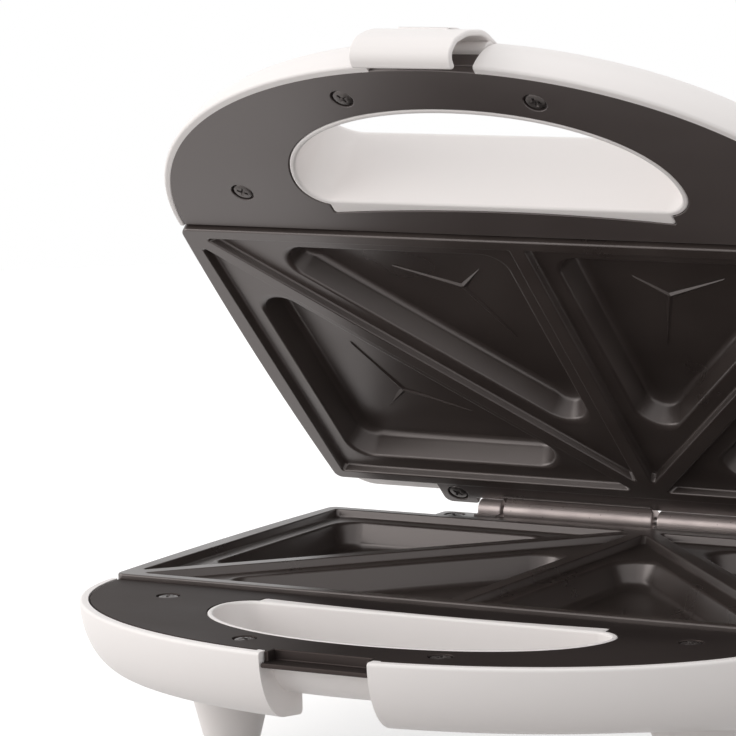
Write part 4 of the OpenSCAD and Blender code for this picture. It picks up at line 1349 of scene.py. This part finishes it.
@dataclass
class Latch:
    """The springy clip on the lid's nose, swung out from its locked place."""

    half: Half
    size: Sizes
    swing: float = 24.0
    width: float = 31.5
    thick: float = 1.8
    knuckle_r: float = 3.2
    pin_r: float = 1.3
    reach: float = 11.1
    end_edge: float = 0.7
    pad_h: float = 0.5

    def path(self) -> Outline:
        """Returns the middle line of the clip's section in its locked place, as (y, z)."""
        s = self.size
        hook = (s.lip_y + 2.3, -s.keeper_z - s.keeper_t - 0.5 - self.thick / 2)
        return round_path([
            (s.pivot_y - 0.3, s.pivot_z + 4.3),
            (s.pivot_y - 6.3, s.pivot_z - 0.5),
            (s.pivot_y - self.reach + 1.0, s.pivot_z - 8.9),
            (s.pivot_y - self.reach, s.pivot_z - 16.1),
            (hook[0] - 4.4, hook[1] - 0.7),
            hook,
        ], [12.0, 20.0, 5.0, 3.0], 12)

    @staticmethod
    def offset(path: Outline, d: float) -> Outline:
        """Returns the open path moved to its left by d."""
        pts = [Vector(p) for p in path]
        out = []
        for i, p in enumerate(pts):
            way = pts[min(i + 1, len(pts) - 1)] - pts[max(i - 1, 0)]
            out.append(tuple(p + Vector((-way.y, way.x)).normalized() * d))
        return out

    def section(self, path: Outline, d0: float, d1: float) -> Outline:
        """Returns the closed band between two offsets of the path, its free end rounded."""
        r = (d1 - d0) / 2
        end = Vector(path[-1])
        way = (end - Vector(path[-2])).normalized()
        left = Vector((-way.y, way.x))
        mid = end + left * (d0 + d1) / 2 - way * r
        tip = []
        for i in range(1, 8):
            t = math.radians(-90 + 180 * i / 8)
            tip.append(tuple(mid + way * (r * math.cos(t)) + left * (r * math.sin(t))))
        lower, upper = self.offset(path, d0), self.offset(path, d1)
        lower[-1] = tuple(mid - left * r)
        upper[-1] = tuple(mid + left * r)
        return lower + tip + list(reversed(upper))

    def build(self) -> Solid:
        """Returns the dressed clip."""
        s = self.size
        path, half_w = self.path(), self.width / 2
        pivot = (0, s.pivot_y, s.pivot_z)
        band = self.section(path, -self.thick / 2, self.thick / 2)
        top = self.section(path[:16], -self.thick / 2 - self.pad_h, 0.0)
        clip = Workshop.across(lambda g: grown(band, g), half_w, self.end_edge, 4)
        Workshop.combine(clip, [
            Workshop.across(lambda g: grown(top, g), self.width / 4, 0.4, 4),
            Workshop.lathe(rod_profile(self.knuckle_r, -half_w, half_w, 0.4), pivot, ALONG_X),
        ], "UNION")
        Workshop.combine(clip, [Workshop.rod(self.pin_r, -FAR / 2, FAR / 2, pivot, ALONG_X)])
        to_pivot = Matrix.Translation(pivot)
        turn = Matrix.Rotation(math.radians(-self.swing), 4, "X")
        clip.data.transform(to_pivot @ turn @ to_pivot.inverted())
        return Workshop.place(clip, "latch_clip_moulding", self.half, ["latch_clip"], "shell", [WHITE],
                              body="latch")


@dataclass
class Screws:
    """The cross-head screws of one half."""

    half: Half
    size: Sizes
    head_r: float = 3.0
    head_h: float = 1.1
    length: float = 8.0
    point: float = 1.2
    pitch: float = 0.8
    thread: float = 0.18
    sheet: float = 0.6
    neck: float = 0.4
    chamfer: float = 0.12
    crown: Points = ((0.0, 0.0), (0.45, 0.01), (0.75, 0.07), (0.92, 0.22), (1.0, 0.5))
    cross: Points = ((-0.5, 1.0), (0.05, 0.96), (0.7, 0.45))
    cross_len: float = 0.62
    cross_w: float = 0.42
    middle: Points = ((0.0, -0.5), (0.75, -0.5), (0.75, 0.25), (0.0, 0.6))

    def screw(self, length: float) -> Solid:
        """Returns a screw whose head's seat is at z = 0 and whose shank points along +z."""
        r, h, shank, pitch = self.head_r, self.head_h, self.size.screw_r, self.pitch
        profile = [(r * share, -h + drop) for share, drop in self.crown]
        profile += [(r, -self.chamfer), (r - self.chamfer, 0.0), (shank, 0.0)]
        z, root = self.neck, shank - self.thread
        while z + pitch < length - self.point:
            profile += [(shank, z), (root, z + pitch * 0.3), (root, z + pitch * 0.5),
                        (shank, z + pitch * 0.8)]
            z += pitch
        profile += [(shank, length - self.point), (shank * 0.35, length), (0.0, length)]
        body = Workshop.lathe(profile, steps=48)
        cross = []
        for angle in (0, 90):
            rings = []
            for depth, share in self.cross:
                x, y, z_cut = r * self.cross_len * share, self.cross_w * (0.6 + 0.4 * share), -h + depth
                rings.append([(-x, -y, z_cut), (x, -y, z_cut), (x, y, z_cut), (-x, y, z_cut)])
            arm = Workshop.loft(rings)
            arm.data.transform(Matrix.Rotation(math.radians(angle), 4, "Z"))
            cross.append(arm)
        middle = Workshop.lathe([(wide, -h + depth) for wide, depth in self.middle], steps=24)
        return Workshop.combine(body, cross + [middle])

    def build(self) -> list[Solid]:
        """Returns the half's screws, each in its node's place."""
        s = self.size
        long_screw, short_screw = self.screw(self.length), self.screw(self.length - 2)
        jobs = []
        for i, (x, y) in enumerate(s.screw_places(), 1):
            place = Matrix.Translation((x, y, s.z_bezel + s.recess_z))
            jobs.append((long_screw, place, f"bezel_screw_{i}", BLACK_STEEL, 23.0 + 31.0 * i))
        for i, way in enumerate((-1, 1), 1):
            place = Matrix.Translation((way * s.ear_x, s.ear_y, s.ear_z + s.recess_z))
            jobs.append((long_screw, place, f"ear_screw_{i}", BLACK_STEEL, 40.0 * i))
            top = Matrix.Translation((way * s.stud_x, 0, s.z_stud + self.sheet))
            jobs.append((short_screw, top @ Matrix.Diagonal((1, 1, -1, 1)), f"tray_screw_{i}", STEEL,
                         15.0 * i))
        made = []
        for solid, place, name, finish, angle in jobs:
            turn = Matrix.Rotation(math.radians(angle), 4, "Z")
            node = self.half.node(name)
            slot = "steel" if finish is STEEL else "black_screw"
            made.append(Workshop.place(Workshop.copy(solid, place @ turn), f"{node}_turned", self.half,
                                       [node], slot, [finish]))
        bpy.data.objects.remove(long_screw)
        bpy.data.objects.remove(short_screw)
        return made


@dataclass
class Fittings:
    """Pads, bushings and lights: small turned pieces on the outside."""

    lower: Half
    upper: Half
    size: Sizes
    pad_r: float = 5.5
    pad_t: float = 1.5
    plug_r: float = 2.2
    plug_h: float = 3.2
    pad_screw_r: float = 2.6
    lens_r: float = 4.0
    roof: float = 34.0
    flange_t: float = 1.5
    flange_edge: float = 0.45

    def bushing(self, at: tuple[float, float], bore: float, body: float, flange: float) -> Solid:
        """Returns a rubber bushing with a rounded outer flange.

        Args:
            at: Its place on the rear wall, as (x, z).
            bore: Radius of its hole.
            body: Thickness of its wall.
            flange: How far its flange reaches out from the hole.

        Returns:
            The bushing.
        """
        y0, y1 = self.size.shell_y - self.size.side_r / 2, self.size.shell_y
        e, top, rise = self.flange_edge, y1 + self.flange_t, 0.3
        profile = [(bore, y0), (bore + body - rise, y0), (bore + body, y0 + rise), (bore + body, y1),
                   (bore + flange, y1)]
        profile += [(bore + flange - e * a, top - e * b) for a, b in reversed(arc_steps(4))]
        profile += [(bore + e * a, top - e * b) for a, b in arc_steps(4)]
        return Workshop.lathe(profile, (at[0], 0, at[1]), ALONG_Y, steps=48, closed=True)

    def lens(self, x: float) -> Solid:
        """Returns a lens with a low dome inside its flange."""
        r, z = self.lens_r, self.roof
        profile = [(0.0, z - 3.5), (r, z - 3.5), (r, z + 0.02), (r + 1.0, z + 0.02),
                   (r + 0.98, z + 0.2), (r + 0.6, z + 0.62), (r + 0.1, z + 0.72)]
        profile += [((r - 0.3) * cos, z + 0.55 + 0.45 * sin) for sin, cos in quarter(7)]
        return Workshop.lathe(profile, (x, self.size.lens_y, 0), steps=48)

    def pad(self, x: float, y: float) -> Solid:
        """Returns the rubber pad under a leg, with a plug that holds it and a screw's hollow."""
        z0 = self.size.z_tip
        z1, plug = z0 + self.pad_t, self.plug_r
        foot = [(self.pad_r - 0.5 * a, z1 - 0.5 * b) for a, b in reversed(arc_steps(4))]
        profile = [(0.0, z0 - self.plug_h), (plug, z0 - self.plug_h), (plug, z0),
                   (self.pad_r - 0.2, z0), (self.pad_r, z0 + 0.2), *foot, (self.pad_screw_r, z1),
                   (plug, z1 - 0.35), (0.0, z1 - 0.35)]
        return Workshop.lathe(profile, (x, y, 0), steps=48)

    def build(self) -> list[Solid]:
        """Returns the dressed fittings."""
        s = self.size
        made = []
        legs = [(way * s.leg_x, y) for y in s.leg_ys for way in (-1, 1)]
        for i, (x, y) in enumerate(legs, 1):
            made.append(Workshop.place(self.pad(x, y), f"pad_{i}_rubber", self.lower, [f"pad_{i}"],
                                       "rubber", [RUBBER]))
        for half, node, spec in (
            (self.lower, "cord_gland", (s.cord_at, 3.5, 2.0, 4.0)),
            (self.lower, "lower_bushing", (s.link_at, 1.8, 1.2, 2.7)),
            (self.upper, "upper_bushing", (s.link_at, 1.8, 1.2, 2.7)),
        ):
            made.append(Workshop.place(self.bushing(*spec), f"{node}_rubber", half, [node], "rubber",
                                       [RUBBER]))
        for node, way, finish in (("power_lens", -1, RED), ("ready_lens", 1, GREEN)):
            made.append(Workshop.place(self.lens(way * s.lens_x), f"{node}_dome", self.upper, [node],
                                       finish.name, [finish]))
        return made


@dataclass
class Insides:
    """Nodes whose shape is right as it is: they get their finishes."""

    finishes: dict[str, Finish] = field(default_factory=lambda: {
        "lower_element": SHEATH, "upper_element": SHEATH,
        "lower_reflector": SHEET, "upper_reflector": SHEET,
        "lower_thermostat": CERAMIC, "upper_thermostat": CERAMIC,
        "thermal_fuse": CERAMIC, "terminal_block": CERAMIC, "lamp_holder": CERAMIC,
        "hinge_pin": STEEL, "latch_pin": STEEL,
    })

    def dress(self, nodes: dict[str, Solid]) -> None:
        """Gives each node its material."""
        for name, finish in self.finishes.items():
            mesh = nodes[name].data
            if not mesh.materials:
                mesh.materials.append(finish.build())
            for i in range(len(mesh.materials)):
                mesh.materials[i] = finish.build()
            LOG.info("%s keeps its form, finish %s", name, finish.name)


@dataclass(frozen=True)
class Lamp:
    """A soft square lamp: its place and size in metres, its power in watts and its colour."""

    name: str
    at: Triple
    size: float
    power: float
    colour: Colour


@dataclass
class Studio:
    """Pale floor, white surroundings, soft lamps and the camera."""

    hinge: Vector
    aim_from_hinge: Triple = (-0.06198, -0.071, 0.05379)
    azimuth: float = 30.28
    elevation: float = 7.86
    roll: float = -1.35
    distance: float = 1.265
    lens: float = 208.86
    floor_colour: Colour = (0.42, 0.41, 0.405)
    floor_lift: float = 0.72
    floor_r: float = 1.3
    floor_z: tuple[float, float] = (-0.0002, -0.0102)
    floor_rough: float = 0.6
    floor_gloss: float = 0.2
    floor_scale: float = 3.0
    floor_worn: float = 0.985
    sensor: float = 36.0
    view_end: float = 50.0
    world_light: float = 0.74
    lamp_aim: Triple = (0.0, -0.09, 0.0)
    lamps: tuple[Lamp, ...] = (
        Lamp("key", (-1.5, -0.9, 0.6), 1.4, 14.5, (1.0, 0.975, 0.955)),
        Lamp("front", (-0.5, -1.6, 0.45), 1.3, 2.2, (1.0, 0.965, 0.95)),
        Lamp("top", (0.0, 0.3, 1.6), 1.4, 3.6, (1.0, 0.985, 0.98)),
    )

    def floor(self) -> None:
        """Lays the pale floor, which reads as white to the camera and keeps the shadow."""
        r, n = self.floor_r, 96
        circle = [(r * math.cos(math.tau * i / n), r * math.sin(math.tau * i / n)) for i in range(n)]
        floor = Workshop.loft([level(circle, z) for z in self.floor_z], "floor")
        material = bpy.data.materials.new("pale_floor")
        material.use_nodes = True
        tree = material.node_tree
        shader = tree.nodes["Principled BSDF"]
        shader.inputs["Roughness"].default_value = self.floor_rough
        shader.inputs["Specular IOR Level"].default_value = self.floor_gloss
        place = add_node(tree, "TexCoord")
        noise = add_node(tree, "TexNoise", {"Scale": self.floor_scale})
        worn = tuple(c * self.floor_worn for c in self.floor_colour)
        tone = add_node(tree, "Mix", {"A": (*self.floor_colour, 1.0), "B": (*worn, 1.0)},
                        data_type="RGBA")
        seen = self.seen(tree)
        lift = add_node(tree, "Math", {1: self.floor_lift}, operation="MULTIPLY")
        glow = add_node(tree, "Emission")
        both = add_node(tree, "AddShader")
        wire(tree, (place, "Object", noise, "Vector"), (noise, "Fac", tone, "Factor"),
             (tone, "Result", shader, "Base Color"), (seen, 0, lift, 0), (lift, 0, glow, "Strength"),
             (shader, 0, both, 0), (glow, 0, both, 1),
             (both, 0, tree.nodes["Material Output"], "Surface"))
        floor.data.materials.append(material)

    @staticmethod
    def seen(tree: bpy.types.NodeTree) -> bpy.types.Node:
        """Returns a node whose output is 1 for camera, glossy and transmission rays."""
        path = add_node(tree, "LightPath")
        first = add_node(tree, "Math", operation="MAXIMUM")
        second = add_node(tree, "Math", operation="MAXIMUM")
        wire(tree, (path, "Is Camera Ray", first, 0), (path, "Is Glossy Ray", first, 1),
             (first, 0, second, 0), (path, "Is Transmission Ray", second, 1))
        return second

    def world(self) -> None:
        """Sets white surroundings that light the object gently."""
        world = bpy.data.worlds.new("studio")
        bpy.context.scene.world = world
        world.use_nodes = True
        tree = world.node_tree
        background = tree.nodes["Background"]
        background.inputs["Color"].default_value = (1.0, 1.0, 1.0, 1.0)
        spread = add_node(tree, "MapRange", {"To Min": self.world_light, "To Max": 1.0})
        wire(tree, (self.seen(tree), 0, spread, "Value"), (spread, "Result", background, "Strength"))

    def hang(self, lamp: Lamp) -> None:
        """Hangs a soft square lamp that faces the toaster."""
        light = bpy.data.lights.new(lamp.name, "AREA")
        light.shape = "SQUARE"
        light.size = lamp.size
        light.energy = lamp.power
        light.color = lamp.colour
        obj = bpy.data.objects.new(lamp.name, light)
        bpy.context.scene.collection.objects.link(obj)
        obj.location = Vector(lamp.at)
        aim = self.hinge + Vector(self.lamp_aim)
        obj.rotation_euler = (aim - obj.location).to_track_quat("-Z", "Y").to_euler()

    def camera(self) -> None:
        """Sets the camera at the photograph's angle."""
        az, el, roll = (math.radians(v) for v in (self.azimuth, self.elevation, self.roll))
        back = Vector((math.sin(az) * math.cos(el), -math.cos(az) * math.cos(el), math.sin(el)))
        right = Vector((math.cos(az), math.sin(az), 0.0))
        up = back.cross(right)
        right_r = right * math.cos(roll) + up * math.sin(roll)
        up_r = -right * math.sin(roll) + up * math.cos(roll)
        data = bpy.data.cameras.new("camera")
        data.lens = self.lens
        data.sensor_width = self.sensor
        data.sensor_fit = "HORIZONTAL"
        data.clip_end = self.view_end
        camera = bpy.data.objects.new("camera", data)
        bpy.context.scene.collection.objects.link(camera)
        at = self.hinge + Vector(self.aim_from_hinge) + back * self.distance
        camera.matrix_world = Matrix((
            (right_r.x, up_r.x, back.x, at.x),
            (right_r.y, up_r.y, back.y, at.y),
            (right_r.z, up_r.z, back.z, at.z),
            (0.0, 0.0, 0.0, 1.0),
        ))
        bpy.context.scene.camera = camera

    def build(self) -> None:
        """Sets up the whole studio."""
        self.floor()
        self.world()
        for lamp in self.lamps:
            self.hang(lamp)
        self.camera()
        bpy.context.scene.view_settings.view_transform = "Standard"


def halves(joint: dict, size: Sizes) -> tuple[Half, Half]:
    """Finds where the two halves stand from the lid's hinge.

    Args:
        joint: The frame's entry for the lid's hinge.
        size: The toaster's sizes.

    Returns:
        The lower and the upper half.
    """
    hinge = Vector(joint["pos_m"])
    opened = math.radians(-min(joint["range_deg"]))
    scale = Matrix.Diagonal((MM, MM, MM, 1.0))
    back = Matrix.Translation((0, -size.hinge_y * MM, 0))
    lower = Matrix.Translation(hinge) @ Matrix.Diagonal((1, 1, -1, 1)) @ back @ scale
    upper = Matrix.Translation(hinge) @ Matrix.Rotation(-opened, 4, "X") @ back @ scale
    return Half(Side.LOWER, lower, "base"), Half(Side.UPPER, upper, "lid")


def main() -> None:
    """Builds the toaster's looks piece by piece, then the studio."""
    logging.basicConfig(level=logging.INFO, format="%(name)s: %(message)s")
    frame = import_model()
    joint = next(j for j in frame["joints"] if j["name"] == "lid_hinge")
    size = Sizes()
    lower, upper = halves(joint, size)
    Shell(lower, size, depth=33.0, rim=3.0, nose_r=13.5, nose_h=20.0, notch=5.8, notch_len=20.4,
          slope=44.0, legs=True).build()
    Shell(upper, size, depth=34.0, rim=2.0, nose_r=21.5, nose_h=20.0, notch=8.2, notch_len=9.3,
          slope=19.0).build()
    Bezel(lower, size).build()
    Bezel(upper, size).build()
    CookingPlate(lower, size, ((-63.15, -55.15), (-1.15, 50.15)), 1.5).build()
    CookingPlate(upper, size, ((-54.15, -2.85), (51.15, 59.15)), 1.55).build()
    Latch(upper, size).build()
    Screws(lower, size).build()
    Screws(upper, size).build()
    Fittings(lower, upper, size).build()
    Insides().dress(frame["nodes"])
    Studio(Vector(joint["pos_m"])).build()


if __name__ == "__main__":
    main()
